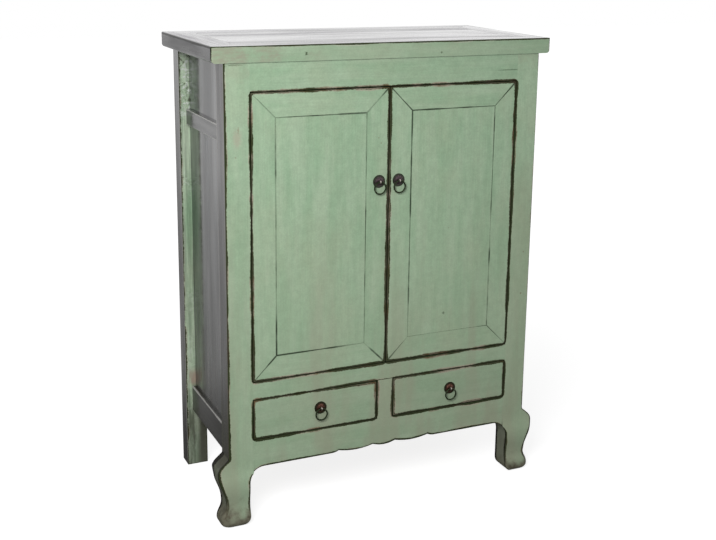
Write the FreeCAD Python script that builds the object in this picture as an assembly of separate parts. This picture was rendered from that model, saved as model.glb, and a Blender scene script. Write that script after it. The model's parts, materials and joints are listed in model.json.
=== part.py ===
import FreeCAD, Part
import math
import os

# A two-door Chinese cabinet over two drawers, on front posts that run down into cabriole legs.
# Millimetres. X runs to the viewer's right, Y from the front to the back and Z up.
# The origin is on the floor, under the middle of the whole cabinet.

vector = FreeCAD.Vector

# Carcass heights, one above the other from the floor up
leg_clearance = 154.0
apron_height = 76.0
drawer_opening_height = 110.0
middle_rail_height = 47.0
door_opening_height = 735.0
top_rail_height = 70.0
top_thickness = 40.0

# Carcass in plan
body_width = 870.0
body_depth = 441.0
front_post_width = 65.0
front_post_depth = 62.0
rear_post_width = 59.0
rear_post_depth = 50.0
divider_width = 46.0
rail_thickness = 30.0
apron_thickness = 24.0

# Cabriole leg: how far it swells past its post, sideways and more gently forward
knee_bulge = 29.0
ankle_bulge = 9.0
toe_bulge = 23.0
forward_knee = 8.0
forward_ankle = 4.0
forward_toe = 12.0
toe_radius = 16.0
instep_radius = 28.0
heel_radius = 10.0
leg_taper = 11.0
shoulder_rise = 31.0
shoulder_lead = 11.0
forward_shoulder_rise = 18.0
knee_height_share = 0.97
forward_knee_height_share = 0.7
ankle_height_share = 0.383
curve_handle_share = 0.45

# Lower edges of the apron and of the side rails
corner_radius = 40.0
outer_cusp_share = 0.357
inner_cusp_share = 0.089
cusp_rise = 5.0
cusp_lead = 20.0
lobe_drop = 1.5

# Side and back frames
side_rail_setback = 18.0
side_rail_thickness = 22.0
side_panel_recess = 10.0
side_panel_thickness = 9.0
side_edge_rise = 13.0
side_rail_top_rise = 9.0
side_middle_rail_height = 42.0
side_upper_panel_height = 162.0
back_setback = 4.0
back_rail_thickness = 20.0
back_top_rail_height = 50.0
back_panel_thickness = 8.0
back_panel_recess = 6.0

# Joinery
tenon_length = 22.0
tenon_thickness = 10.0
tenon_shoulder = 8.0
tongue = 7.0
post_tenon_size = 24.0
post_tenon_height = 20.0
board_fit = 1.0
overrun = 5.0

# Top
top_side_overhang = 31.0
top_front_overhang = 4.0
top_frame_width = 72.0
top_end_radius = 12.0
top_arris_radius = 4.0
top_corner_radius = 6.0
top_panel_thickness = 14.0
top_tongue_thickness = 6.0
top_batten_width = 40.0
top_batten_thickness = 18.0
top_batten_place_share = 0.5

# Inside
floor_thickness = 16.0
shelf_thickness = 16.0
shelf_height_share = 0.476
shelf_setback = 44.0
bearer_width = 15.0
bearer_height = 22.0
bottom_board_thickness = 8.0
runner_thickness = 16.0
runner_ledge = 20.0
guide_height = 24.0
stop_lip = 8.0
stop_fit = 0.5
stop_end_setback = 36.0

# Doors
door_gap = 2.0
door_meeting_gap = 3.0
door_thickness = 22.0
door_frame_width = 62.0
door_panel_thickness = 12.0
door_tongue = 6.0
door_tongue_setback = 4.0
door_tongue_thickness = 6.0
panel_seam = 0.6
door_batten_width = 34.0
door_batten_height_share = 0.24
pivot_setback = 9.0
pivot_inset = 13.0
pivot_radius = 5.0
pivot_depth = 10.0
pivot_clearance = 0.3
stile_round = 4.0

# Drawers
drawer_gap = 2.0
drawer_front_thickness = 20.0
drawer_side_thickness = 10.0
drawer_side_height = 80.0
drawer_back_thickness = 10.0
drawer_bottom_thickness = 6.0
drawer_bottom_raise = 8.0
drawer_groove = 5.0
drawer_lap = 12.0
drawer_rear_gap = 14.0
slide_clearance = 0.3
left_drawer_pull_inward = 11.0
left_drawer_pull_raise = 5.0

# Ring pulls
door_pull_inset = 26.0
door_pull_height_share = 0.672
plate_radius = 17.0
plate_rim = 1.2
plate_edge = 0.5
dome_radius = 9.5
dome_height = 2.6
ring_radius = 15.5
ring_wire = 2.0
ring_clearance = 0.3
eye_bore_radius = 2.8
eye_strip_thickness = 1.3
eye_strip_width = 3.2
shank_radius = 1.5
prong_length = 11.0
prong_width = 2.4
prong_thickness = 1.2

# Levels and planes that several pieces share
apron_top = leg_clearance + apron_height
drawer_opening_top = apron_top + drawer_opening_height
door_opening_bottom = drawer_opening_top + middle_rail_height
door_opening_top = door_opening_bottom + door_opening_height
post_top = door_opening_top + top_rail_height
cabinet_height = post_top + top_thickness
half_width = body_width / 2
front_inner_x = half_width - front_post_width
rear_inner_x = half_width - rear_post_width
front_y = (forward_toe - body_depth) / 2
rear_y = front_y + body_depth
front_post_back = front_y + front_post_depth
rear_post_front = rear_y - rear_post_depth
side_rail_outer_x = half_width - side_rail_setback
side_rail_inner_x = side_rail_outer_x - side_rail_thickness
side_panel_outer_x = side_rail_outer_x - side_panel_recess
side_panel_inner_x = side_panel_outer_x - side_panel_thickness
side_bottom_edge = leg_clearance + side_edge_rise
side_bottom_rail_top = apron_top + side_rail_top_rise
side_middle_rail_top = post_top - side_upper_panel_height
side_middle_rail_bottom = side_middle_rail_top - side_middle_rail_height
back_rail_y = rear_y - back_setback - back_rail_thickness
back_panel_y = rear_y - back_setback - back_panel_recess - back_panel_thickness
runner_bottom = apron_top - runner_thickness
shelf_bottom = door_opening_bottom + door_opening_height * shelf_height_share
top_front_y = front_y - top_front_overhang
top_half_width = half_width + top_side_overhang


def board(low_x, high_x, low_y, high_y, low_z, high_z):
    """A straight board between two opposite corners."""
    corner = vector(low_x, low_y, low_z)
    return Part.makeBox(high_x - low_x, high_y - low_y, high_z - low_z, corner)


def mirrored(shape):
    """The same piece on the other side of the cabinet."""
    return shape.mirror(vector(0, 0, 0), vector(1, 0, 0))


def line(start, end):
    return Part.makeLine(start, end)


def arc(start, middle, end):
    return Part.Arc(start, middle, end).toShape()


def bezier(points):
    curve = Part.BezierCurve()
    curve.setPoles(points)
    return curve.toShape()


def slab_of(edges, along):
    """The closed outline made of these edges, carried along a vector into a solid."""
    return Part.Face(Part.Wire(edges)).extrude(along)


def polygon_slab(points, along):
    return Part.Face(Part.makePolygon(points + [points[0]])).extrude(along)


def facing_front(across, height):
    """A point of an upright outline seen from the front, measured outward from the post's inner face."""
    return vector(front_inner_x + across, 0, height)


def facing_side(across, height):
    """The same outline seen from the side, where outward is forward."""
    return vector(0, front_post_back - across, height)


def corner_point(place, edge_height, turn):
    """A point on the quarter round that leads a lower edge down into the leg."""
    across = leg_taper - corner_radius + corner_radius * math.cos(turn)
    return place(across, edge_height - corner_radius + corner_radius * math.sin(turn))


# The quarter round crosses from the rail to the post at this turn
joint_turn = math.acos((corner_radius - leg_taper) / corner_radius)
quarter_turn = math.pi / 2
full_turn_degrees = 360


def corner_arc(place, edge_height, first_turn, last_turn):
    middle_turn = (first_turn + last_turn) / 2
    turns = (first_turn, middle_turn, last_turn)
    return arc(*[corner_point(place, edge_height, turn) for turn in turns])


def leg_curve(place, post_size, swells, knee_height, shoulder_height, lead):
    """The swelling outer line of the leg, from the toe up to its shoulder, which the lead point bends."""
    knee_swell, ankle_swell, toe_swell = swells
    toe = (post_size + toe_swell, toe_radius)
    ankle = (post_size + ankle_swell, leg_clearance * ankle_height_share)
    knee = (post_size + knee_swell, knee_height)
    edges = []
    for lower, upper in ((toe, ankle), (ankle, knee)):
        handle = (upper[1] - lower[1]) * curve_handle_share
        poles = [lower, (lower[0], lower[1] + handle), (upper[0], upper[1] - handle), upper]
        edges.append(bezier([place(*pole) for pole in poles]))
    handle = (shoulder_height - knee_height) * curve_handle_share
    poles = [knee, (knee[0], knee[1] + handle),
             (post_size + lead[0], shoulder_height - lead[1]), (post_size, shoulder_height)]
    edges.append(bezier([place(*pole) for pole in poles]))
    edges.append(line(place(post_size, shoulder_height), place(post_size, post_top)))
    return edges


def leg_outline(place, post_size, edge_height, hollow_radius, toe_swell, outer_line):
    """Post and leg in one plane: straight inside, swelling outside, rounded under the foot."""
    toe_end = post_size + toe_swell
    toe_middle = toe_radius * (1 - math.sin(math.pi / 4))
    hollow_middle = hollow_radius * (1 - math.sin(math.pi / 4))
    joint = corner_point(place, edge_height, joint_turn)
    arc_end = corner_point(place, edge_height, 0)
    edges = [line(place(0, post_top), joint)]
    edges.append(corner_arc(place, edge_height, joint_turn, 0))
    edges.append(line(arc_end, place(leg_taper, hollow_radius)))
    edges.append(arc(place(leg_taper, hollow_radius),
                     place(leg_taper + hollow_middle, hollow_middle),
                     place(leg_taper + hollow_radius, 0)))
    edges.append(line(place(leg_taper + hollow_radius, 0), place(toe_end - toe_radius, 0)))
    edges.append(arc(place(toe_end - toe_radius, 0),
                     place(toe_end - toe_middle, toe_middle),
                     place(toe_end, toe_radius)))
    edges.extend(outer_line)
    edges.append(line(place(post_size, post_top), place(0, post_top)))
    return edges


def sideways_outline():
    """The front leg as it is seen from the front, with a strong swell and a crisp shoulder."""
    swells = (knee_bulge, ankle_bulge, toe_bulge)
    outer_line = leg_curve(facing_front, front_post_width, swells, leg_clearance * knee_height_share,
                           leg_clearance + shoulder_rise, (shoulder_lead, shoulder_lead))
    return leg_outline(facing_front, front_post_width, leg_clearance, instep_radius, toe_bulge, outer_line)


def forward_outline():
    """The front leg as it is seen from the side, with a gentle swell that fades out above the rail."""
    swells = (forward_knee, forward_ankle, forward_toe)
    knee_height = leg_clearance * forward_knee_height_share
    shoulder_height = leg_clearance + forward_shoulder_rise
    handle = (shoulder_height - knee_height) * curve_handle_share
    outer_line = leg_curve(facing_side, front_post_depth, swells, knee_height, shoulder_height, (0, handle))
    return leg_outline(facing_side, front_post_depth, side_bottom_edge, heel_radius, forward_toe, outer_line)


def post_tenon(low_x, high_x, low_y, high_y):
    """The square tenon on a post's head, which holds the top."""
    middle_x = (low_x + high_x) / 2
    middle_y = (low_y + high_y) / 2
    half = post_tenon_size / 2
    return board(middle_x - half, middle_x + half, middle_y - half, middle_y + half,
                 post_top, post_top + post_tenon_height)


def front_post():
    """Right front post and leg, sawn to its outline from the front and again from the side."""
    reach = front_post_depth + forward_toe + overrun * 2
    seen_from_front = slab_of(sideways_outline(), vector(0, reach, 0))
    seen_from_front.translate(vector(0, front_y - forward_toe - overrun, 0))
    reach = front_post_width + knee_bulge + overrun * 2
    seen_from_side = slab_of(forward_outline(), vector(reach, 0, 0))
    seen_from_side.translate(vector(front_inner_x - overrun, 0, 0))
    post = seen_from_front.common(seen_from_side)
    return post.fuse(post_tenon(front_inner_x, half_width, front_y, front_post_back))


def rear_post():
    post = board(rear_inner_x, half_width, rear_post_front, rear_y, 0, post_top)
    return post.fuse(post_tenon(rear_inner_x, half_width, rear_post_front, rear_y))


def tenons_across(low_x, high_x, middle_y, low_z, high_z):
    """Tenons on both ends of a rail that runs along X, as one bar through the rail."""
    half = tenon_thickness / 2
    return board(low_x - tenon_length, high_x + tenon_length, middle_y - half, middle_y + half,
                 low_z + tenon_shoulder, high_z - tenon_shoulder)


def tenons_along(middle_x, low_y, high_y, low_z, high_z):
    """Tenons on both ends of a rail that runs along Y."""
    half = tenon_thickness / 2
    return board(middle_x - half, middle_x + half, low_y - tenon_length, high_y + tenon_length,
                 low_z + tenon_shoulder, high_z - tenon_shoulder)


def front_rail(low_z, high_z):
    rail = board(-front_inner_x, front_inner_x, front_y, front_y + rail_thickness, low_z, high_z)
    middle_y = front_y + rail_thickness / 2
    return rail.fuse(tenons_across(-front_inner_x, front_inner_x, middle_y, low_z, high_z))


def pivot_hole(low_z):
    """Socket for a door's wooden pivot, open towards the door."""
    radius = pivot_radius + pivot_clearance
    depth = pivot_depth + pivot_clearance + overrun
    hole = Part.makeCylinder(radius, depth, vector(pivot_x, pivot_y, low_z))
    return hole.fuse(mirrored(hole))


def stop_strip(low_z, high_z):
    """Lip behind the closed doors that stops them flush with the frame."""
    reach = front_inner_x - stop_end_setback
    return board(-reach, reach, front_y + door_thickness + stop_fit, front_y + rail_thickness, low_z, high_z)


# Each door turns on two wooden pins near the outer edge of its hinge stile
door_outer_x = front_inner_x - door_gap
door_inner_x = door_meeting_gap / 2
door_bottom = door_opening_bottom + door_gap
door_top = door_opening_top - door_gap
pivot_x = door_outer_x - pivot_inset
pivot_y = front_y + pivot_setback


def front_top_rail():
    rail = front_rail(door_opening_top, post_top)
    rail = rail.fuse(stop_strip(door_opening_top - stop_lip, door_opening_top))
    return rail.cut(pivot_hole(door_opening_top - overrun))


def front_middle_rail():
    rail = front_rail(drawer_opening_top, door_opening_bottom)
    rail = rail.fuse(stop_strip(door_opening_bottom, door_opening_bottom + stop_lip))
    return rail.cut(pivot_hole(door_opening_bottom - pivot_depth - pivot_clearance))


def front_apron():
    """Bottom rail whose lower edge rises to four cusps and rounds down into the legs."""
    def place(x, height):
        return vector(x, front_y, height)

    def rail_corner(across, height):
        return place(front_inner_x + across, height)

    def mirrored_edges(edges):
        return [mirrored(edge) for edge in edges]

    outer_cusp = front_inner_x * outer_cusp_share
    inner_cusp = front_inner_x * inner_cusp_share
    tip = leg_clearance + cusp_rise
    lobe = leg_clearance - lobe_drop
    arc_start = front_inner_x + leg_taper - corner_radius
    run_end = outer_cusp + cusp_lead
    joint = corner_point(rail_corner, leg_clearance, joint_turn)
    half_edge = [line(place(front_inner_x, apron_top), joint)]
    half_edge.append(corner_arc(rail_corner, leg_clearance, joint_turn, quarter_turn))
    half_edge.append(line(place(arc_start, leg_clearance), place(run_end, leg_clearance)))
    half_edge.append(bezier([place(run_end, leg_clearance),
                             place((run_end + outer_cusp) / 2, leg_clearance),
                             place(outer_cusp, tip)]))
    half_edge.append(arc(place(outer_cusp, tip), place((outer_cusp + inner_cusp) / 2, lobe),
                         place(inner_cusp, tip)))
    centre_lobe = arc(place(inner_cusp, tip), place(0, lobe), place(-inner_cusp, tip))
    top_edge = line(place(-front_inner_x, apron_top), place(front_inner_x, apron_top))
    edges = Part.sortEdges(half_edge + [centre_lobe, top_edge] + mirrored_edges(half_edge))[0]
    apron = slab_of(edges, vector(0, apron_thickness, 0))
    middle_y = front_y + apron_thickness / 2
    return apron.fuse(tenons_across(-front_inner_x, front_inner_x, middle_y, leg_clearance, apron_top))


def drawer_divider():
    """Short upright between the two drawers, tenoned into the rails above and below."""
    half = divider_width / 2
    upright = board(-half, half, front_y, front_y + rail_thickness, apron_top, drawer_opening_top)
    middle_y = front_y + apron_thickness / 2
    tenon = board(-half + tenon_shoulder, half - tenon_shoulder,
                  middle_y - tenon_thickness / 2, middle_y + tenon_thickness / 2,
                  apron_top - tenon_length, drawer_opening_top + tenon_length)
    return upright.fuse(tenon)


def side_bottom_rail():
    """Lower side rail, rounded down into the front leg and square against the rear post."""
    front_end = corner_point(facing_side, side_bottom_edge, joint_turn)
    arc_start = corner_point(facing_side, side_bottom_edge, quarter_turn)
    edges = [line(vector(0, front_post_back, side_bottom_rail_top), front_end)]
    edges.append(corner_arc(facing_side, side_bottom_edge, joint_turn, quarter_turn))
    edges.append(line(arc_start, vector(0, rear_post_front, side_bottom_edge)))
    edges.append(line(vector(0, rear_post_front, side_bottom_edge),
                      vector(0, rear_post_front, side_bottom_rail_top)))
    edges.append(line(vector(0, rear_post_front, side_bottom_rail_top),
                      vector(0, front_post_back, side_bottom_rail_top)))
    rail = slab_of(edges, vector(side_rail_thickness, 0, 0))
    rail.translate(vector(side_rail_inner_x, 0, 0))
    return rail.fuse(side_tenons(side_bottom_edge, side_bottom_rail_top))


def side_tenons(low_z, high_z):
    middle_x = (side_rail_inner_x + side_rail_outer_x) / 2
    return tenons_along(middle_x, front_post_back, rear_post_front, low_z, high_z)


def side_middle_rail():
    rail = board(side_rail_inner_x, side_rail_outer_x, front_post_back, rear_post_front,
                 side_middle_rail_bottom, side_middle_rail_top)
    return rail.fuse(side_tenons(side_middle_rail_bottom, side_middle_rail_top))


def side_panel(low_z, high_z):
    """Thin side panel, its tongues let into the posts and whatever is above and below."""
    return board(side_panel_inner_x, side_panel_outer_x, front_post_back - tongue, rear_post_front + tongue,
                 low_z - tongue, high_z + tongue)


def back_rail(low_z, high_z):
    rail = board(-rear_inner_x, rear_inner_x, back_rail_y, back_rail_y + back_rail_thickness, low_z, high_z)
    middle_y = back_rail_y + back_rail_thickness / 2
    return rail.fuse(tenons_across(-rear_inner_x, rear_inner_x, middle_y, low_z, high_z))


def back_panel():
    low_z = apron_top - tongue
    high_z = post_top - back_top_rail_height + tongue
    return board(-rear_inner_x - tongue, rear_inner_x + tongue,
                 back_panel_y, back_panel_y + back_panel_thickness, low_z, high_z)


def post_room(low_z, high_z, fit):
    """The space that the four posts take at some level, with a little room round them."""
    front = board(front_inner_x - fit, half_width, front_y, front_post_back + fit, low_z, high_z)
    rear = board(rear_inner_x - fit, half_width, rear_post_front - fit, rear_y, low_z, high_z)
    pair = front.fuse(rear)
    return pair.fuse(mirrored(pair))


def inside_board(low_y, low_z, thickness):
    """Loose board between the side panels, notched round the posts."""
    reach = side_panel_inner_x - board_fit
    sheet = board(-reach, reach, low_y, back_panel_y - board_fit, low_z, low_z + thickness)
    return sheet.cut(post_room(low_z, low_z + thickness, board_fit))


def cupboard_floor():
    """Floor over the drawers, its front edge let into the middle rail."""
    low_y = front_y + rail_thickness - tongue
    return inside_board(low_y, door_opening_bottom - floor_thickness, floor_thickness)


def cupboard_shelf():
    return inside_board(front_y + shelf_setback, shelf_bottom, shelf_thickness)


def side_bearers():
    """Four bearers alike, two under the floor and two under the shelf."""
    bearers = []
    for top_z in (door_opening_bottom - floor_thickness, shelf_bottom):
        bearer = board(side_panel_inner_x - bearer_width, side_panel_inner_x,
                       front_post_back, rear_post_front, top_z - bearer_height, top_z)
        bearers.extend([bearer, mirrored(bearer)])
    return Part.makeCompound(bearers)


def bottom_board():
    """Thin board that closes the cabinet below the drawers, let into the rails round it."""
    low_z = runner_bottom - bottom_board_thickness
    reach = side_rail_inner_x + tongue
    sheet = board(-reach, reach, front_y + apron_thickness - tongue, back_rail_y + tongue, low_z, runner_bottom)
    return sheet.cut(post_room(low_z, runner_bottom, 0))


def outer_drawer_runners():
    """Runner and guide in one, beside each outer drawer side."""
    ledge_x = front_inner_x - runner_ledge
    outline = [vector(ledge_x, 0, runner_bottom), vector(side_rail_inner_x, 0, runner_bottom),
               vector(side_rail_inner_x, 0, apron_top + guide_height),
               vector(front_inner_x, 0, apron_top + guide_height),
               vector(front_inner_x, 0, apron_top), vector(ledge_x, 0, apron_top)]
    low_y = front_y + apron_thickness
    runner = polygon_slab(outline, vector(0, back_rail_y - low_y, 0))
    runner.translate(vector(0, low_y, 0))
    runner = runner.cut(post_room(runner_bottom, apron_top + guide_height, 0))
    return Part.makeCompound([runner, mirrored(runner)])


def centre_drawer_runner():
    """The runner that both drawers share, with its guide between them."""
    half_guide = divider_width / 2
    half_ledge = half_guide + runner_ledge
    low_y = front_y + apron_thickness
    ledge = board(-half_ledge, half_ledge, low_y, back_rail_y, runner_bottom, apron_top)
    guide = board(-half_guide, half_guide, front_y + rail_thickness, back_rail_y, apron_top,
                  apron_top + guide_height)
    return ledge.fuse(guide)


def rounded_outline(place, low, high, low_radius, high_radius):
    """Upright slab seen from its end: two lower and two upper corners, rounded."""
    (low_u, low_v), (high_u, high_v) = low, high
    edges = []
    corners = ((low_u, low_v, 1, 1, low_radius), (high_u, low_v, -1, 1, low_radius),
               (high_u, high_v, -1, -1, high_radius), (low_u, high_v, 1, -1, high_radius))
    ends = []
    for u, v, inward_u, inward_v, radius in corners:
        middle = radius * (1 - math.sin(math.pi / 4))
        beside = place(u + inward_u * radius, v)
        above = place(u, v + inward_v * radius)
        edges.append(arc(beside, place(u + inward_u * middle, v + inward_v * middle), above))
        ends.append((beside, above))
    edges.append(line(ends[0][0], ends[1][0]))
    edges.append(line(ends[1][1], ends[2][1]))
    edges.append(line(ends[2][0], ends[3][0]))
    edges.append(line(ends[3][1], ends[0][1]))
    return Part.sortEdges(edges)[0]


def top_blank():
    """The whole top before it is mitred: bullnosed ends and softened corners."""
    def from_front(u, v):
        return vector(u, top_front_y - overrun, v)

    def from_above(u, v):
        return vector(u, v, post_top - overrun)

    ends = rounded_outline(from_front, (-top_half_width, post_top), (top_half_width, cabinet_height),
                           top_end_radius, top_arris_radius)
    plan = rounded_outline(from_above, (-top_half_width, top_front_y), (top_half_width, rear_y),
                           top_corner_radius, top_corner_radius)
    bar = slab_of(ends, vector(0, rear_y - top_front_y + overrun * 2, 0))
    sheet = slab_of(plan, vector(0, 0, top_thickness + overrun * 2))
    return bar.common(sheet)


def top_panel():
    """Middle of the top: a flush field on a thinner tongue."""
    inner_x = top_half_width - top_frame_width
    low_y = top_front_y + top_frame_width
    high_y = rear_y - top_frame_width
    low_z = cabinet_height - top_panel_thickness
    field = board(-inner_x + panel_seam, inner_x - panel_seam, low_y + panel_seam, high_y - panel_seam,
                  low_z, cabinet_height)
    tongues = board(-inner_x - tongue, inner_x + tongue, low_y - tongue, high_y + tongue,
                    low_z, low_z + top_tongue_thickness)
    return field.fuse(tongues)


def top_battens():
    """Two battens across the underside of the top panel."""
    low_y = top_front_y + top_frame_width
    high_y = rear_y - top_frame_width
    middle_x = (top_half_width - top_frame_width) * top_batten_place_share
    high_z = cabinet_height - top_panel_thickness
    batten = board(middle_x - top_batten_width / 2, middle_x + top_batten_width / 2, low_y, high_y,
                   high_z - top_batten_thickness, high_z)
    return Part.makeCompound([batten, mirrored(batten)])


def mitre_wedges(place, low, high, width, along):
    """Prisms that part a rectangle into four mitred members: low v, high v, low u and high u."""
    (low_u, low_v), (high_u, high_v) = low, high
    inner = ((low_u + width, low_v + width), (high_u - width, low_v + width),
             (high_u - width, high_v - width), (low_u + width, high_v - width))
    outer = ((low_u - overrun, low_v - overrun), (high_u + overrun, low_v - overrun),
             (high_u + overrun, high_v + overrun), (low_u - overrun, high_v + overrun))
    wedges = []
    for first, second in ((0, 1), (2, 3), (3, 0), (1, 2)):
        corners = (outer[first], outer[second], inner[second], inner[first])
        wedges.append(polygon_slab([place(*corner) for corner in corners], along))
    return wedges


def top_members(seated_pieces):
    """Four mitred members of the top frame, with the mortises and grooves that others fill."""
    def place(x, y):
        return vector(x, y, post_top - overrun)

    blank = top_blank()
    for piece in seated_pieces:
        blank = blank.cut(piece)
    wedges = mitre_wedges(place, (-top_half_width, top_front_y), (top_half_width, rear_y),
                          top_frame_width, vector(0, 0, top_thickness + overrun * 2))
    names = ("top_frame_front", "top_frame_rear", "top_frame_left", "top_frame_right")
    return {name: blank.common(wedge) for name, wedge in zip(names, wedges)}


def pull_eye(x, z, board_thickness):
    """Split pin of flat strip: a loop in front of the plate, a shank and prongs bent behind the board."""
    loop_y = front_y - eye_reach
    back_y = front_y + board_thickness
    side = vector(x - eye_strip_width / 2, loop_y, z)
    loop = Part.makeCylinder(eye_bore_radius + eye_strip_thickness, eye_strip_width, side, vector(1, 0, 0))
    loop = loop.cut(Part.makeCylinder(eye_bore_radius, eye_strip_width, side, vector(1, 0, 0)))
    shank_start = loop_y + eye_bore_radius + eye_strip_thickness / 2
    shank = Part.makeCylinder(shank_radius, back_y + prong_thickness - shank_start,
                              vector(x, shank_start, z), vector(0, 1, 0))
    prongs = board(x - prong_length, x + prong_length, back_y, back_y + prong_thickness,
                   z - prong_width / 2, z + prong_width / 2)
    return loop.fuse(shank).fuse(prongs)


# The loop of the eye touches the crown of the plate's dome
eye_reach = plate_rim + dome_height + eye_bore_radius + eye_strip_thickness
ring_drop = eye_bore_radius - ring_wire - ring_clearance


def pull_plate(x, z):
    """Round plate with a low dome in the middle, turned about the pin."""
    def place(radius, height):
        return vector(x + radius, front_y - height, z)

    crown = plate_rim + dome_height
    sphere_radius = (dome_radius ** 2 + dome_height ** 2) / (dome_height * 2)
    half_turn = math.asin(dome_radius / sphere_radius) / 2
    shoulder = place(sphere_radius * math.sin(half_turn), crown - sphere_radius * (1 - math.cos(half_turn)))
    edges = [line(place(0, 0), place(plate_radius, 0)),
             line(place(plate_radius, 0), place(plate_radius, plate_edge)),
             line(place(plate_radius, plate_edge), place(plate_radius - plate_rim, plate_rim)),
             line(place(plate_radius - plate_rim, plate_rim), place(dome_radius, plate_rim)),
             arc(place(dome_radius, plate_rim), shoulder, place(0, crown)),
             line(place(0, crown), place(0, 0))]
    profile = Part.Face(Part.Wire(edges))
    return profile.revolve(vector(x, 0, z), vector(0, 1, 0), full_turn_degrees)


def pull_ring(x, z):
    """Ring that hangs in the eye and lies flat in front of the plate."""
    centre = vector(x, front_y - eye_reach, z - ring_drop - ring_radius)
    return Part.makeTorus(ring_radius, ring_wire, centre, vector(0, 1, 0))


def door_blank():
    """The whole door frame before it is mitred, its outer upright corners rounded to clear the post."""
    blank = board(door_inner_x, door_outer_x, front_y, front_y + door_thickness, door_bottom, door_top)
    outer_edges = [edge for edge in blank.Edges
                   if edge.BoundBox.XMin > door_inner_x + door_frame_width
                   and edge.BoundBox.ZLength > door_frame_width]
    return blank.makeFillet(stile_round, outer_edges)


def door_members():
    """Bottom rail, top rail, meeting stile and hinge stile of the right door."""
    def place(x, z):
        return vector(x, front_y - overrun, z)

    blank = door_blank()
    wedges = mitre_wedges(place, (door_inner_x, door_bottom), (door_outer_x, door_top),
                          door_frame_width, vector(0, door_thickness + overrun * 2, 0))
    return [blank.common(wedge) for wedge in wedges]


def door_panel():
    """Flush field on a tongue that the frame's grooves hold."""
    low_x = door_inner_x + door_frame_width
    high_x = door_outer_x - door_frame_width
    low_z = door_bottom + door_frame_width
    high_z = door_top - door_frame_width
    field = board(low_x + panel_seam, high_x - panel_seam, front_y, front_y + door_panel_thickness,
                  low_z + panel_seam, high_z - panel_seam)
    tongue_y = front_y + door_tongue_setback
    tongues = board(low_x - door_tongue, high_x + door_tongue, tongue_y, tongue_y + door_tongue_thickness,
                    low_z - door_tongue, high_z + door_tongue)
    return field.fuse(tongues)


def door_battens():
    low_x = door_inner_x + door_frame_width
    high_x = door_outer_x - door_frame_width
    low_y = front_y + door_panel_thickness
    rise = (door_top - door_bottom) * door_batten_height_share
    battens = []
    for middle_z in (door_bottom + rise, door_top - rise):
        battens.append(board(low_x, high_x, low_y, front_y + door_thickness,
                             middle_z - door_batten_width / 2, middle_z + door_batten_width / 2))
    return Part.makeCompound(battens)


def pivot_pins():
    """The two wooden pins that are one with the hinge stile, as one bar through it."""
    reach = door_gap + pivot_depth
    return Part.makeCylinder(pivot_radius, door_top - door_bottom + reach * 2,
                             vector(pivot_x, pivot_y, door_bottom - reach))


def right_door():
    """Pieces of the right door, by their plain names."""
    pull_x = door_inner_x + door_pull_inset
    pull_z = door_bottom + (door_top - door_bottom) * door_pull_height_share
    panel = door_panel()
    eye = pull_eye(pull_x, pull_z, door_thickness)
    pins = pivot_pins()
    bottom_rail, top_rail, meeting_stile, hinge_stile = door_members()
    return {
        "hinge_stile": hinge_stile.cut(panel).fuse(pins),
        "meeting_stile": meeting_stile.cut(panel).cut(eye),
        "top_rail": top_rail.cut(panel).cut(pins),
        "bottom_rail": bottom_rail.cut(panel).cut(pins),
        "panel": panel,
        "battens": door_battens(),
        "pull_plate": Part.makeCompound([pull_plate(pull_x, pull_z).cut(eye), eye]),
        "ring": pull_ring(pull_x, pull_z),
    }


def right_drawer(pull_inward, pull_raise):
    """Pieces of the right drawer: a lapped front with its pull, two sides, a back and a grooved bottom."""
    inner_x = divider_width / 2 + drawer_gap
    outer_x = front_inner_x - drawer_gap
    low_z = apron_top + drawer_gap
    high_z = drawer_opening_top - drawer_gap
    box_low_z = apron_top + slide_clearance
    box_high_z = box_low_z + drawer_side_height
    front_back_y = front_y + drawer_front_thickness
    end_y = back_rail_y - drawer_rear_gap
    lap_y = front_back_y - drawer_lap
    side = board(inner_x, inner_x + drawer_side_thickness, lap_y, end_y, box_low_z, box_high_z)
    other_side = board(outer_x - drawer_side_thickness, outer_x, lap_y, end_y, box_low_z, box_high_z)
    bottom_z = box_low_z + drawer_bottom_raise
    bottom = board(inner_x + drawer_side_thickness - drawer_groove,
                   outer_x - drawer_side_thickness + drawer_groove,
                   front_back_y - drawer_groove, end_y, bottom_z, bottom_z + drawer_bottom_thickness)
    back = board(inner_x + drawer_side_thickness, outer_x - drawer_side_thickness,
                 end_y - drawer_back_thickness, end_y, bottom_z + drawer_bottom_thickness, box_high_z)
    front = board(inner_x, outer_x, front_y, front_back_y, low_z, high_z)
    pull_x = (inner_x + outer_x) / 2 - pull_inward
    pull_z = (low_z + high_z) / 2 + pull_raise
    eye = pull_eye(pull_x, pull_z, drawer_front_thickness)
    return {
        "front": front.cut(side).cut(other_side).cut(bottom).cut(eye),
        "sides": Part.makeCompound([side.cut(bottom), other_side.cut(bottom)]),
        "back": back,
        "bottom": bottom,
        "pull_plate": Part.makeCompound([pull_plate(pull_x, pull_z).cut(eye), eye]),
        "ring": pull_ring(pull_x, pull_z),
    }


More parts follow.
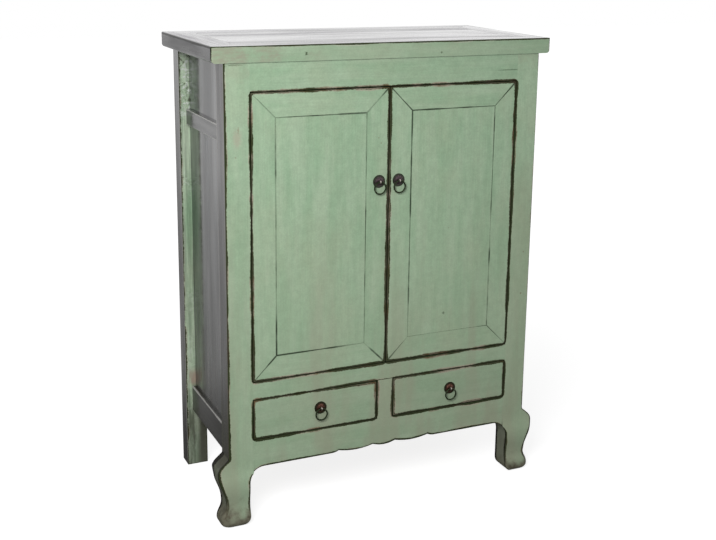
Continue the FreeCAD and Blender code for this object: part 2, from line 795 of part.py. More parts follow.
def carcass():
    """Every piece that stays still, each one cut back where another is let into it."""
    under_board = bottom_board()
    floor = cupboard_floor()
    divider = drawer_divider()
    upper_panel = side_panel(side_middle_rail_top, post_top)
    lower_panel = side_panel(side_bottom_rail_top, side_middle_rail_bottom)
    rear_panel = back_panel()
    top_rail = front_top_rail()
    middle_rail = front_middle_rail()
    apron = front_apron()
    bottom_rail = side_bottom_rail()
    middle_side_rail = side_middle_rail()
    rear_top_rail = back_rail(post_top - back_top_rail_height, post_top)
    rear_bottom_rail = back_rail(side_bottom_edge, apron_top)
    front_leg = front_post()
    rear_leg = rear_post()
    field = top_panel()
    for piece in (top_rail, middle_rail, apron, bottom_rail, middle_side_rail, upper_panel, lower_panel):
        front_leg = front_leg.cut(piece)
    for piece in (bottom_rail, middle_side_rail, rear_top_rail, rear_bottom_rail,
                  upper_panel, lower_panel, rear_panel):
        rear_leg = rear_leg.cut(piece)
    seated = [field]
    for piece in (front_leg, rear_leg, upper_panel):
        seated.extend([piece, mirrored(piece)])
    pieces = top_members(seated)
    pieces.update({
        "top_panel": field,
        "top_battens": top_battens(),
        "front_top_rail": top_rail,
        "front_middle_rail": middle_rail.cut(divider).cut(floor),
        "drawer_divider": divider,
        "front_apron": apron.cut(divider).cut(under_board),
        "back_top_rail": rear_top_rail.cut(rear_panel),
        "back_bottom_rail": rear_bottom_rail.cut(rear_panel).cut(under_board),
        "back_panel": rear_panel,
        "cupboard_floor": floor,
        "cupboard_shelf": cupboard_shelf(),
        "side_bearers": side_bearers(),
        "bottom_board": under_board,
        "outer_drawer_runners": outer_drawer_runners(),
        "centre_drawer_runner": centre_drawer_runner(),
    })
    pairs = {
        "front_leg_post": front_leg,
        "rear_post": rear_leg,
        "side_bottom_rail": bottom_rail.cut(lower_panel).cut(under_board),
        "side_middle_rail": middle_side_rail.cut(lower_panel).cut(upper_panel),
        "side_upper_panel": upper_panel,
        "side_lower_panel": lower_panel,
    }
    for name, piece in pairs.items():
        pieces[name + "_right"] = piece
        pieces[name + "_left"] = mirrored(piece)
    return pieces


def all_pieces():
    """Every piece by its name; the left side's moving pieces are made on the right and mirrored."""
    pieces = carcass()
    door = right_door()
    right = {"door": door, "drawer": right_drawer(0, 0)}
    left = {"door": door, "drawer": right_drawer(left_drawer_pull_inward, left_drawer_pull_raise)}
    for unit in right:
        for name, piece in right[unit].items():
            pieces["right_" + unit + "_" + name] = piece
        for name, piece in left[unit].items():
            pieces["left_" + unit + "_" + name] = mirrored(piece)
    return pieces


def one_piece(shape):
    """The solids of a piece alone, with faces in one plane joined."""
    solids = [solid.removeSplitter() for solid in shape.Solids]
    if len(solids) == 1:
        return solids[0]
    return Part.makeCompound(solids)


os.makedirs("parts", exist_ok=True)
for node, shape in all_pieces().items():
    one_piece(shape).exportStep("parts/" + node + ".step")
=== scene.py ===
import bpy
import bmesh
import json
import math
from mathutils import Matrix, Vector, noise

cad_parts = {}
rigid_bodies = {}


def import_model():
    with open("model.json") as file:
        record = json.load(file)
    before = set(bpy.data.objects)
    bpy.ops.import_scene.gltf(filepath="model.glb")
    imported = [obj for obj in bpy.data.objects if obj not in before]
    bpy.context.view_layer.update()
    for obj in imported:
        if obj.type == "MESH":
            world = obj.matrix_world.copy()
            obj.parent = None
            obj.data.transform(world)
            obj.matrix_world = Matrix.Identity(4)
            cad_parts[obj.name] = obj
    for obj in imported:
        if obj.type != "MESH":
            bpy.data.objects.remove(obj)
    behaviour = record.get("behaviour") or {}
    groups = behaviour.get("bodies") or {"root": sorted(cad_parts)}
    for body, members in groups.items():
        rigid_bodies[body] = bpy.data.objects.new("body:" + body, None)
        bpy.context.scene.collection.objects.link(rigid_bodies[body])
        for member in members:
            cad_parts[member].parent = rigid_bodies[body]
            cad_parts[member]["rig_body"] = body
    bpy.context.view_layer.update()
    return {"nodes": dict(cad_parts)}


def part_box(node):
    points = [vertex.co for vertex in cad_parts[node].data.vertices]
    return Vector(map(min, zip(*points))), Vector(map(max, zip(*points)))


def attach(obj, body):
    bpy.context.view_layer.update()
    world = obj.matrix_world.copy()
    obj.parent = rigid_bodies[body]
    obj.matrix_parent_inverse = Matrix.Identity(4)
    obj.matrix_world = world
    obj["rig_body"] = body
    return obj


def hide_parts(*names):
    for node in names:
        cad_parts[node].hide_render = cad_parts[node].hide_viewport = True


# A tall Chinese cabinet: sage-green brushed paint in front, dark lacquer on its sides and top.
# Metres. X runs to the viewer's right, Y from the front to the back and Z up.

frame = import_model()
nodes = frame["nodes"]

# Planes and levels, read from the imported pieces
gap = 0.002
apron_height = 0.076
drawer_low, drawer_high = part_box("right_drawer_front")
stile_low, stile_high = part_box("right_door_meeting_stile")
front_y = drawer_low.y
post_inner_x = drawer_high.x + gap
body_half_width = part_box("rear_post_right")[1].x
post_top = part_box("top_frame_front")[0].z
door_low = Vector((stile_low.x, front_y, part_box("right_door_bottom_rail")[0].z))
door_high = Vector((drawer_high.x, front_y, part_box("right_door_top_rail")[1].z))
door_frame_width = stile_high.x - door_low.x
leg_clearance = drawer_low.z - gap - apron_height

# Depths of the front's pieces
post_depth = 0.062
door_thickness = 0.022
panel_thickness = 0.012
drawer_thickness = 0.020
rail_thickness = 0.030

# Rounding of the arrises
arris = 0.0022
post_arris = 0.0020
soft_arris = 0.0012
plain_arris = 0.0008
seam = 0.0005
joint = 0.0001


# Fields: colours, numbers and vectors that vary over a surface

def plug(tree, socket, value):
    """Feed a socket from a field or a node's output, or set it to a plain value."""
    value = getattr(value, "socket", value)
    if isinstance(value, bpy.types.NodeSocket):
        tree.links.new(value, socket)
    else:
        socket.default_value = (*value, 1.0) if socket.type == "RGBA" else value


def add(tree, kind, inputs=None, **settings):
    """A new node with its settings and inputs."""
    made = tree.nodes.new(kind)
    for name, value in settings.items():
        setattr(made, name, value)
    for key, value in (inputs or {}).items():
        plug(tree, made.inputs[key], value)
    return made


def maths(operation):
    """A method of fields that adds a maths node."""
    def method(self, other=0.0):
        return self.node("ShaderNodeMath", {0: self, 1: other}, operation=operation)
    return method


class Field:
    """An output of a node; what is done with it adds nodes to its tree."""

    __add__ = maths("ADD")
    __sub__ = maths("SUBTRACT")
    __mul__ = maths("MULTIPLY")
    __truediv__ = maths("DIVIDE")
    __abs__ = maths("ABSOLUTE")
    least = maths("MINIMUM")
    most = maths("MAXIMUM")
    below = maths("LESS_THAN")
    above = maths("GREATER_THAN")

    def __init__(self, tree, socket):
        self.tree = tree
        self.socket = socket

    def node(self, kind, inputs, output=0, **settings):
        return Field(self.tree, add(self.tree, kind, inputs, **settings).outputs[output])

    def fade(self, low, high, start=0.0, end=1.0):
        """Smooth step from start at low to end at high."""
        inputs = {"Value": self, "From Min": low, "From Max": high, "To Min": start, "To Max": end}
        return self.node("ShaderNodeMapRange", inputs, interpolation_type="SMOOTHSTEP")

    def fall(self, low, high):
        """One up to low, nothing from high on."""
        return self.fade(low, high, 1.0, 0.0)

    def vector(self, operation, other):
        return self.node("ShaderNodeVectorMath", {0: self, 1: other}, operation=operation)

    def scaled(self, *scale):
        return self.vector("MULTIPLY", scale)

    def length(self):
        return self.node("ShaderNodeVectorMath", {0: self}, "Value", operation="LENGTH")

    def parts(self):
        return [Field(self.tree, part) for part in add(self.tree, "ShaderNodeSeparateXYZ", {0: self}).outputs]

    def cloud(self, scale, detail=3.0, roughness=0.5, distortion=0.0):
        """Soft noise from 0 to 1."""
        inputs = dict(Vector=self, Scale=scale, Detail=detail, Roughness=roughness, Distortion=distortion)
        return self.node("ShaderNodeTexNoise", inputs)

    def streaks(self, along, across, detail=3.0, roughness=0.6):
        """Soft noise drawn out along the vector's first part."""
        return self.scaled(along, across, across).cloud(1.0, detail, roughness)

    def between(self, first, second):
        """The first colour where this is 0, the second where it is 1."""
        return self.node("ShaderNodeMix", {"Factor": self, 6: first, 7: second}, 2, data_type="RGBA")

    def covered(self, *layers):
        """This colour with others over it, each with its share."""
        colour = self
        for other, share in layers:
            colour = self.node("ShaderNodeMix", {"Factor": share, 6: colour, 7: other}, 2, data_type="RGBA")
        return colour

    def toned(self, value):
        """This colour, lighter or darker."""
        return self.node("ShaderNodeHueSaturation", {"Value": value, "Color": self})

    def own(self, name):
        """One of the piece's own vectors: streak, from_low or from_high."""
        return self.node("ShaderNodeAttribute", {}, "Vector", attribute_name=name)

    def use(self, group, **inputs):
        """A group's outputs by name."""
        made = add(self.tree, "ShaderNodeGroup", node_tree=group)
        for title, value in inputs.items():
            plug(self.tree, made.inputs[title], value)
        return {output.name: Field(self.tree, output) for output in made.outputs}

    def through(self, group, **inputs):
        """This colour after a group's effect on it."""
        return self.use(group, Color=self, **inputs)["Color"]


def place(tree):
    return Field(tree, add(tree, "ShaderNodeTexCoord").outputs["Object"])


NUMBER, VECTOR, COLOUR = "NodeSocketFloat", "NodeSocketVector", "NodeSocketColor"
KINDS = {"VALUE": NUMBER, "VECTOR": VECTOR, "RGBA": COLOUR}
WHITE = (1.0, 1.0, 1.0, 1.0)
ORIGIN = (0.0, 0.0, 0.0)


def effect(**inputs):
    """Make a shader group of a function that gets its place and inputs and gives its outputs by name."""
    def build(function):
        group = bpy.data.node_groups.new(function.__name__, "ShaderNodeTree")
        for title, value in inputs.items():
            kind = NUMBER if isinstance(value, float) else (VECTOR if len(value) == 3 else COLOUR)
            group.interface.new_socket(title, in_out="INPUT", socket_type=kind).default_value = value
        start = add(group, "NodeGroupInput").outputs
        outputs = function(place(group), *[Field(group, start[title]) for title in inputs])
        for title, value in outputs.items():
            group.interface.new_socket(title, in_out="OUTPUT", socket_type=KINDS[value.socket.type])
        add(group, "NodeGroupOutput", outputs)
        return group
    return build


# Colours of the paint, the wood under it, the dirt on it and painted shade
sage = (0.338, 0.500, 0.328)
pale_sage = (0.420, 0.560, 0.390)
beige_sage = (0.420, 0.488, 0.336)
# Dark brown of bare wood; at the feet's very bottom it is a painted contact shadow
bare_and_shadow_brown = (0.042, 0.034, 0.017)
bare_green = (0.030, 0.041, 0.014)
rubbed_red = (0.190, 0.098, 0.050)
rubbed_pink = (0.480, 0.400, 0.320)
white_rub = (0.620, 0.640, 0.520)
seam_green = (0.026, 0.042, 0.022)
foot_grey = (0.195, 0.188, 0.136)
foot_dark = (0.110, 0.100, 0.068)
soiled_beige = (0.372, 0.378, 0.274)
end_beige = (0.348, 0.362, 0.268)
# Painted shade on the lacquer low down, standing in for its dimmer reflection near the floor
low_painted_shade = (0.034, 0.032, 0.024)
dent_brown = (0.070, 0.055, 0.045)

# Middle lines of the gaps round a door and round a drawer, and the corners of the worn bands there
half_gap = gap / 2
door_gap_line = ((door_low.x, door_low.z - half_gap), (door_high.x + half_gap, door_high.z + half_gap))
drawer_gap_line = ((drawer_low.x - half_gap, drawer_low.z - half_gap),
                   (drawer_high.x + half_gap, drawer_high.z + half_gap))
door_corner = 0.009
drawer_corner = 0.010


# Effects that several finishes share

@effect()
def arris_distance(here):
    """How far a point is from the nearest arris of its own piece, from its two distance vectors."""
    x, y, z = here.own("from_low").vector("MINIMUM", here.own("from_high")).parts()
    return {"Distance": x.least(y).most(x.most(y).least(z))}


def rounded_line(across, height, line, corner):
    """Distance to the line of a rectangle with rounded corners, on either side of it."""
    (low_x, low_z), (high_x, high_z) = line
    side = abs(across - (low_x + high_x) / 2) - ((high_x - low_x) / 2 - corner)
    rise = abs(height - (low_z + high_z) / 2) - ((high_z - low_z) / 2 - corner)
    outside = side.node("ShaderNodeCombineXYZ", {0: side.most(0.0), 1: rise.most(0.0)}).length()
    return abs(outside + side.most(rise).least(0.0) - corner)


@effect()
def gap_distance(here):
    """How far a point of the front is from the gap round the nearest door or drawer."""
    across, _, height = here.parts()
    door = rounded_line(abs(across), height, door_gap_line, door_corner)
    return {"Distance": door.least(rounded_line(abs(across), height, drawer_gap_line, drawer_corner))}


def painted_over(across, height):
    """Where the right door's bottom seam is filled with paint, between short stretches at its ends."""
    first, last = door_low.x + door_frame_width, door_high.x - door_frame_width
    level = door_low.z + door_frame_width
    between_ends = across.fade(first + 0.030, first + 0.050) * across.fall(last - 0.035, last - 0.020)
    return height.fall(level + 0.02, level + 0.05) * between_ends


@effect()
def panel_seams(here):
    """Seams round the doors' panels and across the doors' corners, filled with paint in places."""
    across, _, height = here.parts()
    middle = (door_low + door_high) / 2
    side = abs(abs(across) - middle.x) - ((door_high.x - door_low.x) / 2 - door_frame_width)
    rise = abs(height - middle.z) - ((door_high.z - door_low.z) / 2 - door_frame_width)
    outer = side.most(rise)
    mitre = abs(side - rise) * math.sqrt(0.5) + side.least(rise).below(0.0)
    distance = abs(outer).least(mitre) + outer.above(door_frame_width)
    filled = here.cloud(11.0).fade(0.40, 0.60, -0.0003, 0.0010)
    lasting = here.cloud(8.0).fade(0.40, 0.56, 0.20, 0.92)
    lasting = lasting * painted_over(across, height).fade(0.0, 1.0, 1.0, 0.12)
    return {"Mask": (distance - filled).fall(0.0, 0.0024) * lasting}


@effect(Distance=0.0, Width=0.003, Raggedness=0.002, Rim=0.003)
def ragged_edge(here, distance, width, raggedness, rim):
    """Worn band along an edge, wider in some places, with a rubbed fringe at its ragged border."""
    mixed = here.cloud(34.0) * 0.5 + here.cloud(260.0, 4.0, 0.65) * 0.5
    shift = (mixed - 0.5) * (raggedness * 7.0)
    over = distance + shift - width * here.cloud(5.5, 2.0).fade(0.36, 0.66, 0.80, 1.45)
    fringe = over - rim * here.cloud(13.0, 2.0).fade(0.48, 0.66)
    return {"Bare": over.fall(-0.0007, 0.0007), "Fringe": fringe.fall(-0.0010, 0.0010)}


@effect(Color=WHITE, Bare=0.0, Fringe=0.0)
def worn_through(here, colour, bare, fringe):
    """Bare wood and the rubbed fringe of a ragged edge, laid over a colour."""
    wood = here.cloud(17.0, 2.0).fade(0.56, 0.72).between(bare_green, bare_and_shadow_brown)
    rubbed = here.cloud(21.0, 2.0).fade(0.46, 0.64).between(rubbed_pink, rubbed_red)
    rubbed = rubbed.covered((white_rub, here.parts()[2].fade(1.13, 1.17, 0.0, 0.9)))
    return {"Color": colour.covered((rubbed, fringe * 0.60), (wood, bare))}


@effect(Along=ORIGIN, Green=WHITE, Pale=WHITE, Beige=WHITE)
def brushed(here, along, green, pale, beige):
    """Soft streaks of a wide brush along the piece, over broad clouds of two tones."""
    wide = along.streaks(4.5, 30.0, 3.0, 0.55)
    fine = along.streaks(13.0, 380.0)
    broad = here.scaled(8.5, 8.5, 5.0).cloud(1.0, 5.0, 0.60)
    colour = wide.fade(0.30, 0.72).between(green, pale).covered((beige, broad.fade(0.38, 0.78, 0.0, 0.46)))
    tone = fine.fade(0.2, 0.8, 0.94, 1.045) * here.cloud(46.0, 3.0, 0.6).fade(0.3, 0.7, 0.95, 1.04)
    tone = tone * here.cloud(310.0, 3.0, 0.7).fade(0.3, 0.7, 0.93, 1.055)
    return {"Color": colour.toned(tone), "Height": fine + wide, "Dull": fine}


@effect(Color=WHITE, Tone=1.0, Warmth=0.0)
def soiled(here, clean, tone, warmth):
    """Paint grown duller and beige towards the floor, in long drips."""
    height = here.parts()[2]
    colour = height.fade(0.10, 1.10).between(clean.covered((beige_sage, 0.30)), clean)
    colour = colour.toned(height.fade(0.05, 0.9, tone * 0.94, tone))
    settled = here.scaled(17.0, 17.0, 2.2).cloud(1.0, 3.0, 0.55) + height.fade(0.15, 0.40, 0.06, 0.0)
    drips = settled.fade(0.46, 0.68, 0.0, 0.50) * height.fall(0.25, 1.00)
    warm = height.fade(0.80, 0.98, warmth, 0.0)
    return {"Color": colour.covered((soiled_beige, drips), (soiled_beige, warm))}


@effect(Color=WHITE)
def under_top(here, colour):
    """Posts soiled just under the top."""
    ragged = here.parts()[2] + here.cloud(40.0, 4.0).fade(0.3, 0.7, -0.03, 0.03)
    return {"Color": colour.covered((soiled_beige, ragged.fade(1.13, 1.20, 0.0, 0.3)))}


@effect(Color=WHITE)
def rubbed_foot_and_shadow(here, colour):
    """Paint rubbed off the feet down to grey-brown wood, with a painted contact shadow along the very bottom.
    """
    across, _, height = here.parts()
    ragged = height + here.cloud(24.0, 4.0, 0.60).fade(0.2, 0.8, -0.030, 0.030)
    worn = (ragged + across.fade(-0.3, 0.3, 0.0, 0.022)).fall(0.022, 0.070)
    wood = here.cloud(60.0, 4.0, 0.60).fade(0.34, 0.60).between(foot_dark, foot_grey)
    # The last band, along the very bottom, is a painted contact shadow
    return {"Color": colour.covered((foot_grey, height.fall(0.03, 0.14) * 0.22), (wood, worn),
                                    (bare_and_shadow_brown, height.fall(0.001, 0.008)))}


@effect(Color=WHITE, Shade=WHITE, Middle=ORIGIN, Scale=ORIGIN, Strength=1.0)
def mark(here, colour, shade, middle, scale, strength):
    """A single knot, crack or smear on the front, with a ragged outline."""
    off = here.vector("SUBTRACT", middle).vector("MULTIPLY", scale)
    ragged = off.length() + here.cloud(420.0).fade(0.3, 0.7, -0.4, 0.4)
    return {"Color": colour.covered((shade, ragged.fade(0.4, 1.1, strength, 0.0)))}


@effect(Spread=24.0, Size=0.08, Share=0.2)
def dents(here, spread, size, share):
    """Sparse small dents and knocks."""
    waves = here.node("ShaderNodeTexNoise", {"Vector": here, "Scale": 220.0}, "Color")
    wavy = here.vector("ADD", waves.scaled(0.004, 0.004, 0.004))
    cells = add(here.tree, "ShaderNodeTexVoronoi", {"Vector": wavy, "Scale": spread}).outputs
    chosen = here.node("ShaderNodeSeparateColor", {0: cells["Color"]}).below(share)
    return {"Mask": (Field(here.tree, cells["Distance"]) / size).fall(0.5, 1.0) * chosen}


@effect(Along=ORIGIN, Base=WHITE, Tint=WHITE, Gloss=0.1, Dullest=0.0, Glossiest=1.0, Lasting=1.0)
def lacquer(here, along, base, tint, gloss, dullest, glossiest, lasting):
    """Old lacquer with brushed streaks, glossy smears and fine scratches; duller below, and darker and
    browner below by painted shade.
    """
    streaks = along.streaks(2.2, 34.0, 5.0)
    low = here.parts()[2].fall(0.15, 0.75)
    smears = along.streaks(1.6, 17.0, 4.0).fade(0.32, 0.66, dullest, glossiest)
    # The colour is darkened towards the floor by painted shade
    return {"Color": streaks.fade(0.38, 0.66).between(base, tint).covered((low_painted_shade, low * 0.6)),
            "Roughness": (streaks + low * 0.25).fade(0.3, 0.95, gloss, gloss + 0.30),
            "Coat": smears * (lasting - low * 0.15),
            "Scratches": along.streaks(9.0, 700.0)}


@effect(Along=ORIGIN, Light=WHITE, Dark=WHITE)
def grain(here, along, light, dark):
    """Long wood grain."""
    lines = along.scaled(2.4, 150.0, 150.0).cloud(1.0, 5.0, 0.65, 0.6)
    mixed = lines * 0.7 + along.streaks(1.2, 26.0, 2.0, 0.5) * 0.3
    return {"Color": mixed.fade(0.36, 0.64).between(dark, light), "Height": lines}


@effect(Dark=WHITE, Rubbed=WHITE, Polish=0.3)
def tarnish(here, dark, rubbed, polish):
    """Dark aged metal, rubbed brighter in patches and finely pitted."""
    patches = here.cloud(240.0, 4.0, 0.6)
    return {"Color": patches.fade(0.42, 0.72).between(dark, rubbed),
            "Roughness": patches.fade(0.3, 0.7, polish + 0.12, polish),
            "Height": patches * 1.5 + here.cloud(1500.0, 2.0)}


# Finishes

def new_material(name):
    """The place on a surface, in a new material's tree."""
    material = bpy.data.materials.new(name)
    material.use_nodes = True
    material.node_tree.nodes.clear()
    return place(material.node_tree)


def finish(name, shine, colour, rough, height, relief, others=None):
    """The material's shader; shine is its specular level and relief the depth of its bumps."""
    bump = height.node("ShaderNodeBump", {"Height": height, "Distance": relief, "Strength": 1.0})
    inputs = {"Base Color": colour, "Roughness": rough, "Specular IOR Level": shine, "Normal": bump}
    shader = height.node("ShaderNodeBsdfPrincipled", inputs | (others or {}))
    add(height.tree, "ShaderNodeOutputMaterial", {0: shader})
    return bpy.data.materials[name]


def worn_band(distance, width, raggedness, rim):
    """Bare and Fringe of a worn band, as worn_through takes them."""
    return distance.use(ragged_edge, Distance=distance, Width=width, Raggedness=raggedness, Rim=rim)


def worn_arrises(here, width, raggedness, rim):
    return worn_band(here.use(arris_distance)["Distance"], width, raggedness, rim)


def green_paint(name, wear_width, raggedness, knocks, tone=1.0, leg_wear=0.0, beige_end=False, warmth=0.0,
                marks=()):
    """Brushed paint, worn through to dark wood along the gaps and arrises, dirtier towards the floor."""
    here = new_material(name)
    across, _, height = here.parts()
    coat = here.use(brushed, Along=here.own("streak"), Green=sage, Pale=pale_sage, Beige=beige_sage)
    colour = coat["Color"].through(soiled, Tone=tone, Warmth=warmth)
    if beige_end:
        blotches = across + here.cloud(30.0, 5.0, 0.65).fade(0.3, 0.7, -0.11, 0.11)
        lines = here.streaks(45.0, 240.0, 4.0, 0.65).fade(0.34, 0.62, 0.50, 1.0)
        colour = colour.covered((end_beige, blotches.fade(-0.44, -0.22, 0.95, 0.20) * lines))
    colour = colour.covered((seam_green, here.use(panel_seams)["Mask"]))
    for x, z, half_length, half_height, shade, strength in marks:
        colour = colour.through(mark, Shade=shade, Middle=(x, front_y, z), Strength=strength,
                                Scale=(1 / half_length, 0.0, 1 / half_height))
    spots = here.use(dents, Spread=17.0, Size=0.055, Share=knocks)["Mask"]
    colour = colour.covered((rubbed_red, spots * 0.6))
    width = wear_width
    if leg_wear:
        below_knee = height.fade(0.12, 0.17, leg_wear, leg_wear * 0.7)
        width = below_knee.least(height.fade(0.17, 0.30, leg_wear, wear_width))
        colour = colour.through(under_top)
    gaps = worn_band(here.use(gap_distance)["Distance"], 0.0042, 0.0014, 0.0030)
    edge = worn_arrises(here, width, raggedness, 0.0022)
    colour = colour.through(worn_through, **gaps).through(worn_through, **edge)
    if leg_wear:
        colour = colour.through(rubbed_foot_and_shadow)
    bare = gaps["Bare"].most(edge["Bare"])
    rough = coat["Dull"].fade(0.2, 0.8, 0.38, 0.52) + bare * 0.1
    return finish(name, 0.2, colour, rough, coat["Height"] * 0.35 - (bare * 0.7 + spots * 1.2), 0.0004)


def flaked_paint(name):
    """Thin old paint of the rear posts: streaked green, pale flakes near the top, dark mottling below, and
    painted shade along the inner edge low down.
    """
    here = new_material(name)
    across, _, height = here.parts()
    coat = here.use(brushed, Along=here.own("streak"), Green=(0.300, 0.455, 0.290),
                    Pale=(0.475, 0.580, 0.430), Beige=(0.440, 0.470, 0.340))
    combed = here.scaled(150.0, 150.0, 6.0).cloud(1.0, 3.0, 0.6).fade(0.34, 0.66, 0.82, 1.30)
    mottle = here.scaled(46.0, 46.0, 9.0).cloud(1.0, 5.0, 0.68)
    flakes = here.cloud(62.0, 6.0, 0.72, 0.8)
    clumps = here.cloud(7.0, 2.0) + height.fade(0.90, 1.14, 0.0, 0.28)
    flaking = clumps.fade(0.50, 0.62) * height.fade(0.55, 0.95, 0.25, 1.0)
    chips = flakes.fade(0.51, 0.59) * flaking
    # Darker mottling towards the floor, and the foot darker still
    dark_mottling_below = mottle.fade(0.42, 0.64, 0.0, 0.85) * height.fall(0.10, 0.36)
    # Painted shade: a dark strip along the post's inner edge, low down
    painted_inner_shade = abs(across).fade(0.392, 0.412, 0.92, 0.10) * height.fall(0.10, 0.34)
    rubbed = height.fade(0.235, 0.255) * height.fall(0.27, 0.30) * mottle.fade(0.35, 0.6)
    colour = coat["Color"].toned(combed).covered(
        ((0.760, 0.820, 0.750), chips), ((0.110, 0.125, 0.085), flakes.fade(0.45, 0.38) * flaking),
        ((0.085, 0.095, 0.062), dark_mottling_below), ((0.080, 0.080, 0.058), painted_inner_shade),
        ((0.100, 0.106, 0.076), height.fall(0.02, 0.20) * 0.5), ((0.430, 0.345, 0.265), rubbed))
    colour = colour.through(worn_through, **worn_arrises(here, 0.0026, 0.0030, 0.0020))
    return finish(name, 0.5, colour, flakes.fade(0.3, 0.7, 0.42, 0.66), chips + flakes * 0.5, 0.0006)


def dark_lacquer(name, base, tint, arris_wear_and_highlight, gloss, dullest, wear_width, shine=0.5, post=False,
                 glossiest=1.0):
    """Lacquer rubbed along its arrises, their line in a colour that where pale is a painted highlight; a
    front post's is worn to bare wood at the front and low down.
    """
    here = new_material(name)
    height = here.parts()[2]
    lasting = 1.0
    if post:
        lasting = height.fade(0.18, 0.50, 0.15, 1.0)
        arris_wear_and_highlight = height.fall(0.28, 0.46).between(arris_wear_and_highlight, bare_green)
        edge = worn_band(here.own("from_high").parts()[1], wear_width, 0.0009, 0.0012)
    else:
        edge = worn_arrises(here, wear_width, 0.0009, 0.0012)
    film = here.use(lacquer, Along=here.own("streak"), Base=base, Tint=tint, Gloss=gloss, Dullest=dullest,
                    Glossiest=glossiest, Lasting=lasting)
    spots = here.use(dents, Spread=23.0, Size=0.05, Share=0.16)["Mask"]
    # A pale arris colour paints a highlight along the arris over the rubbed lacquer
    colour = film["Color"].covered((dent_brown, spots * 0.5), (arris_wear_and_highlight, edge["Bare"] * 0.9))
    if post:
        line = worn_band(here.own("from_low").parts()[1], 0.0080, 0.0024, 0.0100)
        colour = colour.covered(((0.060, 0.060, 0.043), height.fall(0.20, 0.42) * 0.7),
                                ((0.085, 0.068, 0.052), line["Fringe"] * 0.5), (bare_and_shadow_brown, line["Bare"]))
    coat = film["Coat"] * edge["Bare"].fade(0.0, 1.0, 1.0, 0.1)
    return finish(name, shine, colour, film["Roughness"], film["Scratches"] * 0.12 - spots, 0.0002,
                  {"Coat Weight": coat, "Coat Roughness": gloss})


def leg_side_finish(name):
    """Sides of the legs: paint and lacquer rubbed together into olive grey, dark along the arrises; the wide
    dark band at the back arris is partly painted shade.
    """
    here = new_material(name)
    mottle = here.cloud(30.0, 5.0, 0.65)
    fine = here.cloud(180.0, 4.0, 0.7)
    inner, front, _ = here.own("from_low").parts()
    back = here.own("from_high").parts()[1]
    # The back arris counts as nearer, so its dark band is wide: worn wood, partly painted shade where the
    # side turns away
    nearest = (front * inner.fade(0.006, 0.010, 1.5, 1.0)).least(back * inner.fade(0.006, 0.010, 0.85, 0.45))
    edge = worn_band(nearest, 0.0074, 0.0022, 0.0080)
    colour = mottle.fade(0.36, 0.62).between((0.100, 0.102, 0.076), (0.170, 0.186, 0.138)).covered(
        ((0.235, 0.250, 0.195), fine.fade(0.55, 0.72, 0.0, 0.5)),
        ((0.215, 0.235, 0.175), inner.fade(0.006, 0.010, 0.7, 0.0)),
        ((0.058, 0.054, 0.040), edge["Fringe"] * 0.60),
        ((0.080, 0.080, 0.060), here.parts()[2].fade(0.145, 0.185)))
    colour = colour.through(rubbed_foot_and_shadow).covered(((0.013, 0.012, 0.008), edge["Bare"]))
    return finish(name, 0.05, colour, fine.fade(0.3, 0.7, 0.38, 0.56), mottle + fine, 0.0004)


def bare_wood(name, light, dark, turn=None):
    """Plain planed wood; its grain runs along the piece, or along an axis where a turn is given."""
    here = new_material(name)
    along = here.node("ShaderNodeMapping", {"Vector": here, "Rotation": turn}) if turn else here.own("streak")
    wood = here.use(grain, Along=along, Light=light, Dark=dark)
    return finish(name, 0.5, wood["Color"], wood["Height"].fade(0.2, 0.8, 0.62, 0.8), wood["Height"], 0.0003)


def aged_brass(name, dark, rubbed, polish=0.34, rim=None):
    """Aged metal, with an olive rim on a plate."""
    here = new_material(name)
    metal = here.use(tarnish, Dark=dark, Rubbed=rubbed, Polish=polish)
    colour = metal["Color"]
    if rim:
        colour = colour.covered((rim, here.own("from_low").parts()[0].fade(0.0095, 0.0140)))
    return finish(name, 0.5, colour, metal["Roughness"], metal["Height"], 0.0002, {"Metallic": 0.85})


# A mark has its middle, half its length and height, its colour and its strength
door_paint = green_paint("door_paint", 0.0010, 0.0007, 0.10, tone=1.04, marks=(
    (0.170, 0.504, 0.0042, 0.0042, seam_green, 0.55), (-0.030, 0.993, 0.0024, 0.0018, rubbed_red, 0.5),
    (-0.023, 0.979, 0.0030, 0.0018, rubbed_red, 0.5)))
drawer_paint = green_paint("drawer_paint", 0.0010, 0.0007, 0.12, tone=0.96)
frame_paint = green_paint("frame_paint", 0.0016, 0.0012, 0.14, marks=(
    (0.346, 1.151, 0.043, 0.0014, seam_green, 0.65),))
left_post_paint = green_paint("left_post_paint", 0.0040, 0.0016, 0.16, leg_wear=0.0072, marks=(
    (-0.403, 1.012, 0.013, 0.027, rubbed_pink, 0.45), (-0.400, 1.031, 0.0022, 0.010, rubbed_red, 0.40),
    (-0.408, 1.187, 0.024, 0.0026, seam_green, 0.55)))
right_post_paint = green_paint("right_post_paint", 0.0018, 0.0012, 0.14, tone=1.06, leg_wear=0.0056,
                               warmth=0.22)
apron_paint = green_paint("apron_paint", 0.0040, 0.0010, 0.12)
slab_paint = green_paint("slab_paint", 0.0030, 0.0007, 0.12, beige_end=True, marks=(
    (-0.228, 1.210, 0.0046, 0.0042, bare_green, 0.80), (0.140, 1.203, 0.0036, 0.0030, bare_green, 0.60)))
rear_paint = flaked_paint("rear_post_paint")
